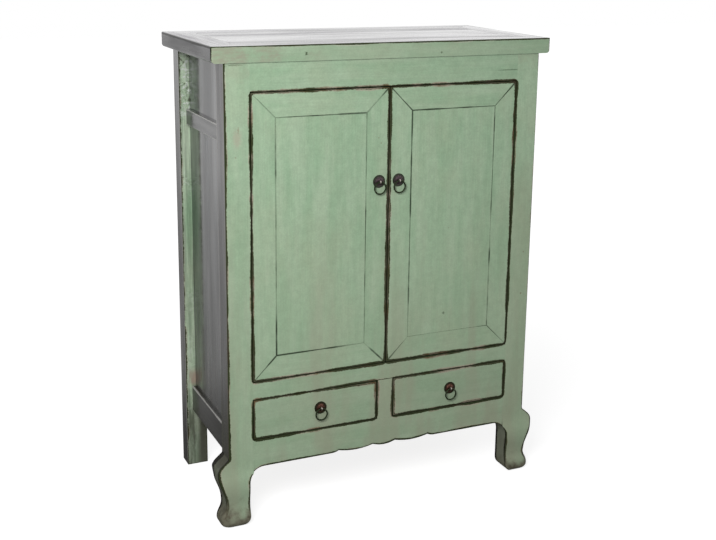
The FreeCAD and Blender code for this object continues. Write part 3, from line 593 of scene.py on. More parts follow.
# Each lacquer's third colour is its arris line: the pale ones are painted highlights over rubbed lacquer, the
# dark ones darken the edge
side_lacquer = dark_lacquer("side_lacquer", (0.019, 0.018, 0.018), (0.044, 0.047, 0.053),
                            (0.460, 0.450, 0.430), 0.10, 0.36, 0.0020)
rail_lacquer = dark_lacquer("rail_lacquer", (0.018, 0.016, 0.015), (0.036, 0.036, 0.038),
                            (0.500, 0.490, 0.470), 0.14, 0.05, 0.0026, shine=0.3, glossiest=0.80)
post_lacquer = dark_lacquer("post_lacquer", (0.026, 0.023, 0.022), (0.048, 0.044, 0.043),
                            (0.300, 0.290, 0.280), 0.12, 0.20, 0.0060, shine=0.4, post=True, glossiest=0.86)
end_lacquer = dark_lacquer("end_lacquer", (0.008, 0.008, 0.008), (0.070, 0.068, 0.072),
                           (0.008, 0.007, 0.006), 0.22, 0.10, 0.0048, shine=0.10, glossiest=0.76)
# The top's pale purplish streaks are a painted reflection of the pale surroundings, laid into its colour
top_lacquer = dark_lacquer("top_lacquer", (0.030, 0.022, 0.030), (0.215, 0.190, 0.240),
                           (0.010, 0.008, 0.008), 0.14, 0.0, 0.0060)
leg_side = leg_side_finish("leg_side")
planed = ((0.300, 0.190, 0.105), (0.170, 0.098, 0.052))
inner_wood = bare_wood("inner_wood", *planed)
stained_wood = bare_wood("stained_wood", (0.046, 0.050, 0.026), (0.022, 0.026, 0.012))
level_wood = bare_wood("level_wood", *planed, (0.0, 0.0, 0.0))
deep_wood = bare_wood("deep_wood", *planed, (0.0, 0.0, math.pi / 2))
back_wood = bare_wood("back_wood", (0.105, 0.066, 0.040), (0.045, 0.028, 0.018))
door_plate_metal = aged_brass("door_plate_metal", (0.056, 0.040, 0.046), (0.170, 0.120, 0.125),
                              rim=(0.052, 0.058, 0.042))
drawer_plate_metal = aged_brass("drawer_plate_metal", (0.066, 0.028, 0.018), (0.210, 0.100, 0.070),
                                rim=(0.040, 0.038, 0.020))
ring_metal = aged_brass("ring_metal", (0.024, 0.036, 0.016), (0.062, 0.080, 0.042))
pin_metal = aged_brass("pin_metal", (0.420, 0.360, 0.330), (0.780, 0.700, 0.640), 0.22)


# Making pieces

ALONG_X = (0, 1, 2)
ALONG_Y = (1, 0, 2)
ALONG_Z = (2, 0, 1)

# An edge this far away shows no wear, and a point this close to a side lies on it
far = 1.0
close = 0.00002
nowhere = ((None, None, None), (None, None, None))


def new_piece(name, bm, *materials):
    """The mesh as an object."""
    mesh = bpy.data.meshes.new(name)
    bm.to_mesh(mesh)
    bm.free()
    for material in materials:
        mesh.materials.append(material)
    piece = bpy.data.objects.new(name, mesh)
    bpy.context.scene.collection.objects.link(piece)
    return piece


def freeze(piece):
    """Give the piece the plain mesh that its modifier makes."""
    evaluated = piece.evaluated_get(bpy.context.evaluated_depsgraph_get())
    mesh = bpy.data.meshes.new_from_object(evaluated)
    piece.modifiers.clear()
    piece.data = mesh
    mesh.name = piece.name


def smooth(bm):
    for face in bm.faces:
        face.smooth = True


def write_vectors(mesh, name, values):
    attribute = mesh.attributes.new(name, "FLOAT_VECTOR", "POINT")
    attribute.data.foreach_set("vector", [part for value in values for part in value])


def box_distances(point, box):
    """Distances of a point from the low and high sides of a box, some of which may be missing."""
    return [[far if side is None else abs(part - side) for part, side in zip(point, corner)]
            for corner in box]


def sides_of(point, box):
    """The sides of a box that a point lies on."""
    distances = box_distances(point, box)
    return {(corner, axis) for corner in range(2) for axis in range(3) if distances[corner][axis] < close}


def stand_in(piece, node):
    """The piece stands for a node, which it hides, and rides on its body."""
    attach(piece, nodes[node]["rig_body"])
    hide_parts(node)


def always_first(face):
    return 0


def looks_forward(face):
    return face.normal.y < -0.35


def paint_in_front(face):
    """Material 0 on faces that look forward, 1 on the others."""
    return 0 if looks_forward(face) else 1


def front_edge_back(face):
    """Material 0 on faces that look forward, 2 on those that look back and 1 on the edges between."""
    return 2 if face.normal.y > 0.35 else paint_in_front(face)


def slab_faces(face):
    """Paint in front, the end lacquer on both ends, and the top lacquer above, below and behind."""
    if face.normal.y < -0.6:
        return 0
    return 2 if abs(face.normal.x) > 0.6 else 1


def finished(bm, node, along, worn, materials, choose=always_first,
             ending="_wood"):
    """The mesh as a piece; worn is a box of worn sides, or gives a point's distances from them."""
    bmesh.ops.remove_doubles(bm, verts=bm.verts, dist=0.000005)
    bmesh.ops.recalc_face_normals(bm, faces=bm.faces)
    smooth(bm)
    for face in bm.faces:
        face.material_index = choose(face)
    piece = new_piece(node + ending, bm, *materials)
    piece.data.set_sharp_from_angle(angle=math.radians(50))
    weighted = piece.modifiers.new("weighted", "WEIGHTED_NORMAL")
    weighted.keep_sharp = True
    weighted.weight = 90
    freeze(piece)
    # Each piece's streaks start elsewhere in the noise
    offset = 7.3 * (len(bpy.data.meshes) % 13)
    points = [vertex.co for vertex in piece.data.vertices]
    pairs = [worn(point) if callable(worn) else box_distances(point, worn) for point in points]
    write_vectors(piece.data, "streak", [[point[axis] + offset for axis in along] for point in points])
    write_vectors(piece.data, "from_low", [below for below, _ in pairs])
    write_vectors(piece.data, "from_high", [above for _, above in pairs])
    stand_in(piece, node)


def round_edges(bm, wanted, radius, steps=3):
    edges = [edge for edge in bm.edges if wanted(edge)]
    bmesh.ops.bevel(bm, geom=edges, offset=radius, offset_type="OFFSET", segments=steps, profile=0.5,
                    affect="EDGES", clamp_overlap=True)


def skin(rings):
    """A closed skin through rings of equally many points, capped at both ends."""
    bm = bmesh.new()
    rings = [[bm.verts.new(point) for point in ring] for ring in rings]
    count = len(rings[0])
    for lower, upper in zip(rings, rings[1:]):
        for index in range(count):
            following = (index + 1) % count
            bm.faces.new((lower[index], lower[following], upper[following], upper[index]))
    bm.faces.new(list(reversed(rings[0])))
    bm.faces.new(rings[-1])
    return bm


def prism(corners, y, thickness):
    """A closed board: an outline in X and Z, carried back from y by its thickness."""
    bm = bmesh.new()
    near = [bm.verts.new((x, y, z)) for x, z in corners]
    back = [bm.verts.new((x, y + thickness, z)) for x, z in corners]
    bm.faces.new(near)
    bm.faces.new(list(reversed(back)))
    for index, corner in enumerate(near):
        following = (index + 1) % len(near)
        bm.faces.new((corner, back[index], back[following], near[following]))
    bmesh.ops.recalc_face_normals(bm, faces=bm.faces)
    return bm


def rectangle(low_x, low_z, high_x, high_z):
    return [(low_x, low_z), (high_x, low_z), (high_x, high_z), (low_x, high_z)]


def rounded_corners(low, high, radii, steps):
    """Points round a rectangle, each of its four corners rounded by its own radius."""
    corners = ((low[0], low[1], 1, 1, math.pi), (high[0], low[1], -1, 1, math.pi * 1.5),
               (high[0], high[1], -1, -1, 0.0), (low[0], high[1], 1, -1, math.pi / 2))
    points = []
    for (first, second, inward_first, inward_second, turn), radius in zip(corners, radii):
        for step in range(steps + 1):
            angle = turn + math.pi / 2 * step / steps
            points.append((first + inward_first * radius + radius * math.cos(angle),
                           second + inward_second * radius + radius * math.sin(angle)))
    return points


# Boards of the front

pin_radius = 0.005
pin_inset = 0.013
pin_depth = 0.009
panel_slack = 0.0003
shortest_seam = 0.02


def add_pivot_pins(bm, node):
    """The two wooden pins that the door turns on."""
    low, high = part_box(node)
    x = (door_high.x - pin_inset) * (1 if low.x > 0 else -1)
    for foot, head in ((low.z, door_low.z + gap), (door_high.z - gap, high.z)):
        turn = Matrix.Translation((x, front_y + pin_depth, (foot + head) / 2))
        bmesh.ops.create_cone(bm, cap_ends=True, segments=24, radius1=pin_radius, radius2=pin_radius,
                              depth=head - foot, matrix=turn)


def painted_board(node, corners, thickness, along, worn, radius, paint, seams=False):
    """A board of the front: its worn arrises rounded, its seams eased, its front painted green."""
    bm = prism(corners, front_y, thickness)

    def worn_arris(edge):
        return len(sides_of(edge.verts[0].co, worn) & sides_of(edge.verts[1].co, worn)) >= 2

    def seam_in_front(edge):
        in_front = all(abs(vertex.co.y - front_y) < close for vertex in edge.verts)
        return in_front and edge.calc_length() > shortest_seam

    round_edges(bm, worn_arris, radius)
    if seams:
        round_edges(bm, seam_in_front, seam, 1)
    if node.endswith("hinge_stile"):
        add_pivot_pins(bm, node)
    finished(bm, node, along, worn, (paint, stained_wood, inner_wood), front_edge_back,
             "_board")


def mirror_corners(corners, sign):
    return [(x * sign, z) for x, z in corners]


def mirror_box(low, high, sign):
    """A box on the side of the cabinet that the sign gives."""
    return (low, high) if sign > 0 else ((-high[0], *low[1:]), (-low[0], *high[1:]))


def door_boards(side, sign):
    """Four mitred members and the flush panel of one door."""
    width = door_frame_width
    outer = rectangle(door_low.x, door_low.z, door_high.x, door_high.z)
    inner = rectangle(door_low.x + width, door_low.z + width, door_high.x - width, door_high.z - width)
    worn = mirror_box(tuple(door_low), (door_high.x, front_y + door_thickness, door_high.z), sign)
    members = (("bottom_rail", 0, 1, ALONG_X), ("top_rail", 2, 3, ALONG_X),
               ("meeting_stile", 3, 0, ALONG_Z), ("hinge_stile", 1, 2, ALONG_Z))
    for name, first, second, along in members:
        corners = mirror_corners((outer[first], outer[second], inner[second], inner[first]), sign)
        painted_board("%s_door_%s" % (side, name), corners, door_thickness, along, worn, arris, door_paint,
                      seams=True)
    (low_x, low_z), (high_x, high_z) = inner[0], inner[2]
    panel = rectangle(low_x + panel_slack, low_z + panel_slack, high_x - panel_slack, high_z - panel_slack)
    painted_board("%s_door_panel" % side, mirror_corners(panel, sign), panel_thickness, ALONG_Z, nowhere,
                  arris, door_paint, seams=True)


def drawer_board(side, sign):
    low, high = drawer_low, drawer_high
    corners = mirror_corners(rectangle(low.x, low.z, high.x, high.z), sign)
    worn = mirror_box(tuple(low), (high.x, front_y + drawer_thickness, high.z), sign)
    painted_board("%s_drawer_front" % side, corners, drawer_thickness, ALONG_X, worn, arris, drawer_paint)


def frame_boards():
    """Top rail, middle rail and divider, rounded only where they look into an opening."""
    door_floor, door_ceiling = door_low.z - gap, door_high.z + gap
    drawer_floor, drawer_ceiling = drawer_low.z - gap, drawer_high.z + gap
    reach = drawer_low.x - gap
    boards = (
        ("front_top_rail", ALONG_X, post_inner_x, door_ceiling, post_top,
         ((None, front_y, door_ceiling), (None, None, None))),
        ("front_middle_rail", ALONG_X, post_inner_x, drawer_ceiling, door_floor,
         ((None, front_y, drawer_ceiling), (None, None, door_floor))),
        ("drawer_divider", ALONG_Z, reach, drawer_floor, drawer_ceiling,
         ((-reach, front_y, None), (reach, None, None))))
    for node, along, width, bottom, top, worn in boards:
        painted_board(node, rectangle(-width, bottom, width, top), rail_thickness, along, worn, soft_arris,
                      frame_paint)


# Cabriole leg, sawn to a strong swell sideways and a gentle one forward

toe_radius = 0.016
instep_radius = 0.028
heel_radius = 0.010
leg_taper = 0.011
handle_share = 0.45
corner_radius = 0.040
# The inner side is dirty rather than worn, so its arris counts as this much further off
spared = 0.0028
side_edge = leg_clearance + 0.013
ankle_height = leg_clearance * 0.383
shoulder_lead = 0.011
forward_knee_height = leg_clearance * 0.7
forward_shoulder = leg_clearance + 0.018
section_spacing = 0.0045
curved_sections = 43

# Rounding of the outer front arris: crisp on the post, softer on the leg, a hoof at the toe
crisp_radius = 0.0026
leg_softness = 0.0022
hoof_radius = 0.0135
hoof_top = 0.066
hoof_fade = 0.040


def cubic(poles, share):
    a, b, c, d = poles
    rest = 1 - share
    return rest ** 3 * a + 3 * rest ** 2 * share * b + 3 * rest * share ** 2 * c + share ** 3 * d


def swelling_line(swells, knee_height, shoulder, lead_swell, lead_drop, steps=12):
    """Heights and swell of the leg's outer line above the toe, along three curves."""
    toe, ankle, knee = swells
    curves = []
    for low, high, first, last in ((toe_radius, ankle_height, toe, ankle),
                                   (ankle_height, knee_height, ankle, knee)):
        handle = (high - low) * handle_share
        curves.append(((low, low + handle, high - handle, high), (first, first, last, last)))
    handle = (shoulder - knee_height) * handle_share
    curves.append(((knee_height, knee_height + handle, shoulder - lead_drop, shoulder),
                   (knee, knee, lead_swell, 0.0)))
    return [(cubic(heights, step / steps), cubic(widths, step / steps))
            for heights, widths in curves for step in range(steps)] + [(shoulder, 0.0)]


lines = {
    "sideways": swelling_line((0.023, 0.009, 0.029), leg_clearance * 0.97, leg_clearance + 0.031,
                              shoulder_lead, shoulder_lead),
    "forward": swelling_line((0.012, 0.004, 0.008), forward_knee_height, forward_shoulder,
                             0.0, (forward_shoulder - forward_knee_height) * handle_share),
}


def swell_at(height, way):
    """How far the leg stands out past its post at a height."""
    toe = lines[way][0][1]
    if height <= toe_radius:
        return toe - toe_radius + math.sqrt(max(toe_radius ** 2 - (toe_radius - height) ** 2, 0.0))
    for (low, first), (high, last) in zip(lines[way], lines[way][1:]):
        if height <= high:
            return first + (last - first) * (height - low) / (high - low)
    return 0.0


def inset_at(height, edge, hollow):
    """How far the leg's inner line stands back from the post's inner face at a height."""
    if height < hollow:
        return leg_taper + hollow - math.sqrt(max(hollow ** 2 - (hollow - height) ** 2, 0.0))
    rise = height - (edge - corner_radius)
    if rise <= 0:
        return leg_taper
    if rise >= corner_radius:
        return 0.0
    return max(leg_taper - corner_radius + math.sqrt(corner_radius ** 2 - rise ** 2), 0.0)


openings = ((drawer_low.z - gap, drawer_high.z + gap), (door_low.z - gap, door_high.z + gap))


def leg_heights():
    """Heights of the leg's sections: close together where it curves, few along the straight post."""
    curved = [step * section_spacing for step in range(curved_sections)]
    foot = [instep_radius * share for share in (0.02, 0.05, 0.1, 0.2, 0.3, 0.5)]
    levels = [level + shift for opening in openings for level in opening for shift in (-0.0004, 0.0004)]
    return sorted(set(curved + foot + levels + [post_top]))


def share_below(z, level, fading):
    return max(0.0, min(1.0, (level - z) / fading))


def roundness(z):
    """Radius of the leg's outer front arris."""
    uneven = 1 + 0.35 * noise.noise(Vector((z * 60, 3.1, 0.4)))
    on_leg = share_below(z, leg_clearance + 0.03, 0.06)
    return ((crisp_radius + leg_softness * on_leg) * uneven
            + hoof_radius * share_below(z, hoof_top, hoof_fade) ** 1.5)


def leg_sides(z):
    """Inner, front, outer and back side of a right leg at a height."""
    return (post_inner_x + inset_at(z, leg_clearance, instep_radius), front_y - swell_at(z, "forward"),
            body_half_width + swell_at(z, "sideways"),
            front_y + post_depth - inset_at(z, side_edge, heel_radius))


def leg_and_post(side, sign):
    """Front post and leg in one piece, through sections at many heights."""
    sections = []
    for z in leg_heights():
        inner_radius = arris if z < leg_clearance - 0.018 else joint
        if any(low < z < high for low, high in openings):
            inner_radius = soft_arris
        radii = (inner_radius, roundness(z), post_arris + 0.4 * (roundness(z) - crisp_radius),
                 post_arris if z < side_edge - 0.02 else joint)
        inner, front, outer, back = leg_sides(z)
        sections.append([(x, y, z) for x, y in rounded_corners((inner, front), (outer, back), radii, 4)])

    def distances(point):
        inner, front, outer, back = leg_sides(point.z)
        across = abs(point.x)
        inside = abs(across - inner) + spared if point.z < leg_clearance - 0.0122 else far
        return (inside, abs(point.y - front), far), (abs(outer - across), abs(back - point.y), far)

    def finish_of(face):
        """Paint in front, lacquer outside the post, stained wood inside it and the leg's own finish."""
        z = face.calc_center_median().z
        if looks_forward(face):
            return 0
        outward = face.normal.x * sign > 0.35
        if z < leg_clearance + 0.034 and (outward or z < leg_clearance + 0.012):
            return 3
        return 1 if outward else 2

    bm = skin(sections)
    if sign < 0:
        bmesh.ops.transform(bm, matrix=Matrix.Diagonal((-1, 1, 1, 1)), verts=bm.verts)
    paint = left_post_paint if side == "left" else right_post_paint
    finished(bm, "front_leg_post_" + side, ALONG_Z, distances, (paint, post_lacquer, stained_wood, leg_side),
             finish_of)


# Lower edge of the apron

outer_cusp = post_inner_x * 0.357
inner_cusp = post_inner_x * 0.089
cusp_rise = 0.005
cusp_lead = 0.020
lobe_drop = 0.0015
arc_start = post_inner_x + leg_taper - corner_radius
apron_steps = 24


def apron_edge(x):
    """Height of the apron's lower edge."""
    across = abs(x)
    if across <= outer_cusp:
        low, high = (-inner_cusp, inner_cusp) if across <= inner_cusp else (inner_cusp, outer_cusp)
        share = (across - (low + high) / 2) / ((high - low) / 2)
        return leg_clearance - lobe_drop + (cusp_rise + lobe_drop) * share ** 2
    if across < outer_cusp + cusp_lead:
        return leg_clearance + cusp_rise * (1 - (across - outer_cusp) / cusp_lead) ** 2
    if across > arc_start:
        drop = corner_radius - math.sqrt(max(corner_radius ** 2 - (across - arc_start) ** 2, 0.0))
        return leg_clearance - drop
    return leg_clearance


def apron_board():
    """Apron through sections along its length, whose lower arris follows the cusped edge."""
    high = (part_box("front_apron")[1].y, drawer_low.z - gap)
    places = [post_inner_x * step / apron_steps for step in range(apron_steps + 1)]
    places += [outer_cusp + cusp_lead * share for share in (0.0, 0.25, 0.5, 0.75, 1.0)]
    places += [inner_cusp, (inner_cusp + outer_cusp) / 2]
    places += [arc_start + (post_inner_x - arc_start) * share for share in (0.0, 0.2, 0.4, 0.6, 0.75, 0.9)]
    places = sorted({round(x, 5) * sign for x in places for sign in (-1, 1)})
    radii = (arris, soft_arris, joint, soft_arris)
    sections = [[(x, y, z) for y, z in rounded_corners((front_y, apron_edge(x)), high, radii, 3)]
                for x in places]

    def distances(point):
        return (far, abs(point.y - front_y), abs(point.z - apron_edge(point.x))), (far, far, far)

    finished(skin(sections), "front_apron", ALONG_X, distances, (apron_paint, stained_wood, inner_wood),
             front_edge_back)


# Top, sides and back

def rounded_copy(node, radius):
    """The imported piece's own shape with its sharp edges eased."""
    bm = bmesh.new()
    bm.from_mesh(nodes[node].data)
    bmesh.ops.remove_doubles(bm, verts=bm.verts, dist=0.00001)
    bmesh.ops.dissolve_limit(bm, angle_limit=math.radians(1), verts=bm.verts, edges=bm.edges)

    def sharp(edge):
        return len(edge.link_faces) == 2 and edge.calc_face_angle(0.0) > math.radians(35)

    round_edges(bm, sharp, radius, 2)
    return bm


def straight_board(low, high, radius):
    """A board between two corners, all its arrises rounded."""
    bm = prism(rectangle(low[0], low[2], high[0], high[2]), low[1], high[1] - low[1])
    round_edges(bm, lambda edge: True, radius)
    return bm


def top_pieces():
    low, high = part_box("top_frame_front")
    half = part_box("top_frame_right")[1].x
    worn = ((-half, low.y, None), (half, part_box("top_frame_rear")[1].y, high.z))
    finishes = (slab_paint, top_lacquer, end_lacquer)
    for name, along in (("front", ALONG_X), ("rear", ALONG_X), ("left", ALONG_Y), ("right", ALONG_Y)):
        node = "top_frame_" + name
        finished(rounded_copy(node, plain_arris), node, along, worn, finishes, slab_faces)
    finished(rounded_copy("top_panel", seam), "top_panel", ALONG_X, nowhere, (top_lacquer,))


def side_pieces():
    """Rear posts, the rails and panels between them and the front posts, and the back."""
    for side in ("left", "right"):
        node = "rear_post_" + side
        low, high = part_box(node)
        finished(straight_board(low, (high.x, high.y, post_top), post_arris), node, ALONG_Z,
                 ((low.x, low.y, 0.0), (high.x, high.y, None)), (rear_paint, rail_lacquer), paint_in_front)
        node = "side_bottom_rail_" + side
        rail_low, rail_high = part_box(node)
        finished(rounded_copy(node, post_arris), node, ALONG_Y,
                 ((rail_low.x, None, None), (rail_high.x, None, rail_high.z)), (rail_lacquer,))
        node = "side_middle_rail_" + side
        rail_low, rail_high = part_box(node)
        rail = straight_board((rail_low.x, front_y + post_depth, rail_low.z),
                              (rail_high.x, low.y, rail_high.z), arris)
        finished(rail, node, ALONG_Y, ((rail_low.x, None, rail_low.z), (rail_high.x, None, rail_high.z)),
                 (rail_lacquer,))
        for node in ("side_upper_panel_" + side, "side_lower_panel_" + side):
            finished(straight_board(*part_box(node), seam), node, ALONG_Z, nowhere, (side_lacquer,))
    for node, along in (("back_top_rail", ALONG_X), ("back_bottom_rail", ALONG_X), ("back_panel", ALONG_Z)):
        finished(rounded_copy(node, plain_arris), node, along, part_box(node), (back_wood,), always_first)


def plain_wood():
    """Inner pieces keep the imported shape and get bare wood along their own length."""
    level = ["cupboard_floor", "cupboard_shelf", "bottom_board", "top_battens"]
    deep = ["side_bearers", "outer_drawer_runners", "centre_drawer_runner"]
    for side in ("left", "right"):
        level += [side + "_door_battens", side + "_drawer_back", side + "_drawer_bottom"]
        deep += [side + "_drawer_sides"]
    for material, names in ((level_wood, level), (deep_wood, deep)):
        for name in names:
            nodes[name].data.materials.clear()
            nodes[name].data.materials.append(material)


# Ring pulls

def ring_tree():
    """Geometry nodes: a round wire bent into a ring at a place, turned as asked."""
    tree = bpy.data.node_groups.new("wire ring", "GeometryNodeTree")
    for title, kind, value in (("Ring Radius", NUMBER, 0.0155), ("Wire Radius", NUMBER, 0.002),
                               ("Place", VECTOR, ORIGIN), ("Turn", VECTOR, ORIGIN)):
        tree.interface.new_socket(title, in_out="INPUT", socket_type=kind).default_value = value
    tree.interface.new_socket("Finish", in_out="INPUT", socket_type="NodeSocketMaterial")
    tree.interface.new_socket("Geometry", in_out="OUTPUT", socket_type="NodeSocketGeometry")
    start = add(tree, "NodeGroupInput").outputs
    ring = add(tree, "GeometryNodeCurvePrimitiveCircle", {"Resolution": 72, "Radius": start["Ring Radius"]})
    wire = add(tree, "GeometryNodeCurvePrimitiveCircle", {"Resolution": 20, "Radius": start["Wire Radius"]})
    bent = add(tree, "GeometryNodeCurveToMesh", {"Curve": ring.outputs[0], "Profile Curve": wire.outputs[0]})
    moved = add(tree, "GeometryNodeTransform",
                {"Geometry": bent.outputs[0], "Translation": start["Place"], "Rotation": start["Turn"]})
    smoothed = add(tree, "GeometryNodeSetShadeSmooth", {"Geometry": moved.outputs[0]})
    real = add(tree, "GeometryNodeRealizeInstances", {0: smoothed.outputs[0]})
    coloured = add(tree, "GeometryNodeSetMaterial",
                   {"Geometry": real.outputs[0], "Material": start["Finish"]})
    add(tree, "NodeGroupOutput", {0: coloured.outputs[0]})
    return tree


wire_ring = ring_tree()


def bent_wire(name, radius, wire, centre, turn, material):
    """A plain mesh made by the ring tree with these sizes."""
    piece = new_piece(name, bmesh.new())
    modifier = piece.modifiers.new("ring", "NODES")
    modifier.node_group = wire_ring
    values = {"Ring Radius": radius, "Wire Radius": wire, "Place": centre, "Turn": turn, "Finish": material}
    for item in wire_ring.interface.items_tree:
        if item.in_out == "INPUT":
            modifier[item.identifier] = values[item.name]
    freeze(piece)
    return piece


def circle(radius, steps):
    """Points of a circle round the origin, as pairs."""
    turns = [math.tau * step / steps for step in range(steps)]
    return [(radius * math.cos(turn), radius * math.sin(turn)) for turn in turns]


def turned_plate(name, centre, metal):
    """Round plate with a rolled rim, a shallow dish and a dome, turned about the pin."""
    profile = ((0.0022, 0.00372), (0.0045, 0.0034), (0.0068, 0.0028), (0.0085, 0.0020), (0.0096, 0.0013),
               (0.0101, 0.00095), (0.0106, 0.0010), (0.0130, 0.0010), (0.0140, 0.00085), (0.0148, 0.0010),
               (0.0158, 0.0012), (0.0166, 0.00105), (0.0170, 0.0006), (0.0170, 0.0))
    dome_height = 0.0038
    steps = 64
    x, z = centre
    bm = bmesh.new()
    rings = [[bm.verts.new((x + across, front_y - rise, z + up)) for across, up in circle(distance, steps)]
             for distance, rise in profile]
    crown = bm.verts.new((x, front_y - dome_height, z))
    foot = bm.verts.new((x, front_y, z))
    for step in range(steps):
        following = (step + 1) % steps
        bm.faces.new((crown, rings[0][following], rings[0][step]))
        bm.faces.new((foot, rings[-1][step], rings[-1][following]))
        for inner, outer in zip(rings, rings[1:]):
            bm.faces.new((inner[step], inner[following], outer[following], outer[step]))
    bmesh.ops.recalc_face_normals(bm, faces=bm.faces)
    smooth(bm)
    piece = new_piece(name, bm, metal)
    reach = [math.hypot(vertex.co.x - x, vertex.co.z - z) for vertex in piece.data.vertices]
    write_vectors(piece.data, "from_low", [(distance, 0, 0) for distance in reach])
    return piece


def prongs(name, centre, back_y):
    """The pin's two ends, spread flat behind the board."""
    x, z = centre
    half_length, half_width, thickness = 0.011, 0.0012, 0.0012
    outline = rectangle(x - half_length, z - half_width, x + half_length, z + half_width)
    bm = prism(outline, back_y, thickness)
    round_edges(bm, lambda edge: True, 0.0003, 2)
    return new_piece(name, bm, ring_metal)


def strip_eye(name, centre, eye_y):
    """Loop of flat strip that the ring hangs in, its edges rounded."""
    outer, bore, half_width = 0.0041, 0.0028, 0.0016
    x, z = centre
    bm = bmesh.new()
    rings = [[bm.verts.new((x + half_width * side, eye_y + back * radius, z + up * radius))
              for radius, side in ((outer, 1), (outer, -1), (bore, -1), (bore, 1))]
             for back, up in circle(1.0, 36)]
    for near, following in zip(rings, rings[1:] + rings[:1]):
        for index in range(4):
            after = (index + 1) % 4
            bm.faces.new((near[index], following[index], following[after], near[after]))
    bmesh.ops.recalc_face_normals(bm, faces=bm.faces)
    round_edges(bm, lambda edge: edge.calc_face_angle(0.0) > 1.0, 0.0004, 2)
    smooth(bm)
    return new_piece(name, bm, pin_metal)


def ring_pull(unit, board_thickness):
    """Plate, split pin and hanging ring of one door or drawer."""
    low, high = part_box(unit + "_ring")
    wire = (high.y - low.y) / 2
    radius = (high.x - low.x) / 2 - wire
    middle = (low + high) / 2
    plate_low, plate_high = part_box(unit + "_pull_plate")
    centre = ((plate_low.x + plate_high.x) / 2, (plate_low.z + plate_high.z) / 2)
    metal = door_plate_metal if unit.endswith("door") else drawer_plate_metal
    ring = bent_wire(unit + "_hanging_ring", radius, wire, middle, (math.pi / 2, 0, 0), ring_metal)
    stand_in(ring, unit + "_ring")
    stand_in(turned_plate(unit + "_plate", centre, metal), unit + "_pull_plate")
    for piece in (strip_eye(unit + "_eye", centre, middle.y),
                  prongs(unit + "_pin_ends", centre, front_y + board_thickness)):
        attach(piece, nodes[unit + "_pull_plate"]["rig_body"])


for side, sign in (("left", -1), ("right", 1)):
    door_boards(side, sign)
    drawer_board(side, sign)
    leg_and_post(side, sign)
    ring_pull(side + "_door", door_thickness)
    ring_pull(side + "_drawer", drawer_thickness)
frame_boards()
apron_board()
top_pieces()
side_pieces()
plain_wood()


# Studio

def rays(tree, *kinds):
    """One for rays of these kinds, nothing for others."""
    path = add(tree, "ShaderNodeLightPath").outputs
    found = Field(tree, path[kinds[0]])
    for kind in kinds[1:]:
        found = found.most(path[kind])
    return found


def stage_material(name):
    """Pale floor: lamps light it plainly, the camera sees it near white, reflections darker near by."""
    reach = new_material(name).length()
    brightness = reach.fade(0.6, 2.6, 0.83, 0.97)
    dimmed = reach.fade(0.3, 6.0, 0.38, 0.80) * reach.fade(0.5, 1.2, 0.28, 1.0)
    plain = reach.node("ShaderNodeBsdfDiffuse", {"Color": (0.5, 0.5, 0.5)})
    seen, mirrored = (reach.node("ShaderNodeEmission", {"Color": (1, 1, 1), "Strength": strength})
                      for strength in (brightness, dimmed))
    looked = rays(reach.tree, "Is Camera Ray", "Is Transmission Ray")
    both = reach.node("ShaderNodeAddShader", {0: plain, 1: seen})
    direct = reach.node("ShaderNodeMixShader", {0: looked, 1: plain, 2: both})
    mix = reach.node("ShaderNodeMixShader", {0: rays(reach.tree, "Is Glossy Ray"), 1: direct, 2: mirrored})
    add(reach.tree, "ShaderNodeOutputMaterial", {0: mix})
    return bpy.data.materials[name]


def floor():
    reach = 14.0
    bm = bmesh.new()
    bm.faces.new([bm.verts.new((x, y, 0)) for x, y in rectangle(-reach, -reach, reach, reach)])
    new_piece("studio_floor", bm, stage_material("studio_floor"))


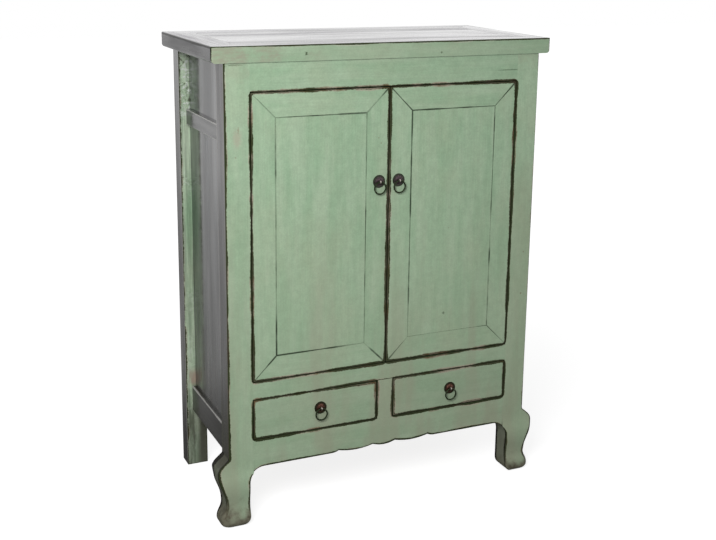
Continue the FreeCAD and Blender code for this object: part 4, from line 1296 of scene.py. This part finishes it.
def soft_lamp(name, size, power, at, towards):
    """A square lamp that lights the cabinet and isn't mirrored in its lacquer."""
    light = bpy.data.lights.new(name, "AREA")
    light.shape = "SQUARE"
    light.size = size
    light.energy = power
    lamp = bpy.data.objects.new(name, light)
    lamp.visible_glossy = False
    lamp.location = at
    lamp.rotation_euler = (Vector(towards) - Vector(at)).to_track_quat("-Z", "Y").to_euler()
    bpy.context.scene.collection.objects.link(lamp)


def world_light():
    """White for the camera and for reflections, and a dimmer light on the cabinet."""
    world = bpy.data.worlds.new("studio_air")
    world.use_nodes = True
    tree = world.node_tree
    tree.nodes.clear()
    looked = rays(tree, "Is Camera Ray", "Is Glossy Ray", "Is Transmission Ray")
    strength = looked.node("ShaderNodeMapRange", {"Value": looked, "To Min": 0.24, "To Max": 1.0})
    air = looked.node("ShaderNodeBackground", {"Color": (1, 1, 1), "Strength": strength})
    add(tree, "ShaderNodeOutputWorld", {0: air})
    bpy.context.scene.world = world


def photo_camera():
    """The photograph's own view, with its picture centre a little off the lens axis."""
    yaw, pitch, roll = 0.43541, 0.23590, 0.01494
    camera_place = (-1.2463, front_y - 2.5792, leg_clearance + 1.3317)
    focal_pixels = 1146.7
    width, height = 716, 540
    centre_x, centre_y = 371.8, 212.0
    ahead = Vector((math.sin(yaw) * math.cos(pitch), math.cos(yaw) * math.cos(pitch), -math.sin(pitch)))
    level = Vector((math.cos(yaw), -math.sin(yaw), 0))
    up = level.cross(ahead)
    right = level * math.cos(roll) + up * math.sin(roll)
    above = up * math.cos(roll) - level * math.sin(roll)
    data = bpy.data.cameras.new("photo_camera")
    data.sensor_width = 36.0
    data.lens = focal_pixels / width * data.sensor_width
    data.shift_x = (width / 2 - centre_x) / width
    data.shift_y = (centre_y - height / 2) / width
    camera = bpy.data.objects.new("photo_camera", data)
    turn = Matrix((right, above, -ahead)).transposed()
    camera.matrix_world = Matrix.Translation(camera_place) @ turn.to_4x4()
    bpy.context.scene.collection.objects.link(camera)
    bpy.context.scene.camera = camera


floor()
soft_lamp("key_lamp", 1.0, 48.0, (-1.5, -2.0, 1.95), (-0.2, -0.2, 0.7))
world_light()
photo_camera()

bpy.context.scene.view_settings.view_transform = "Standard"
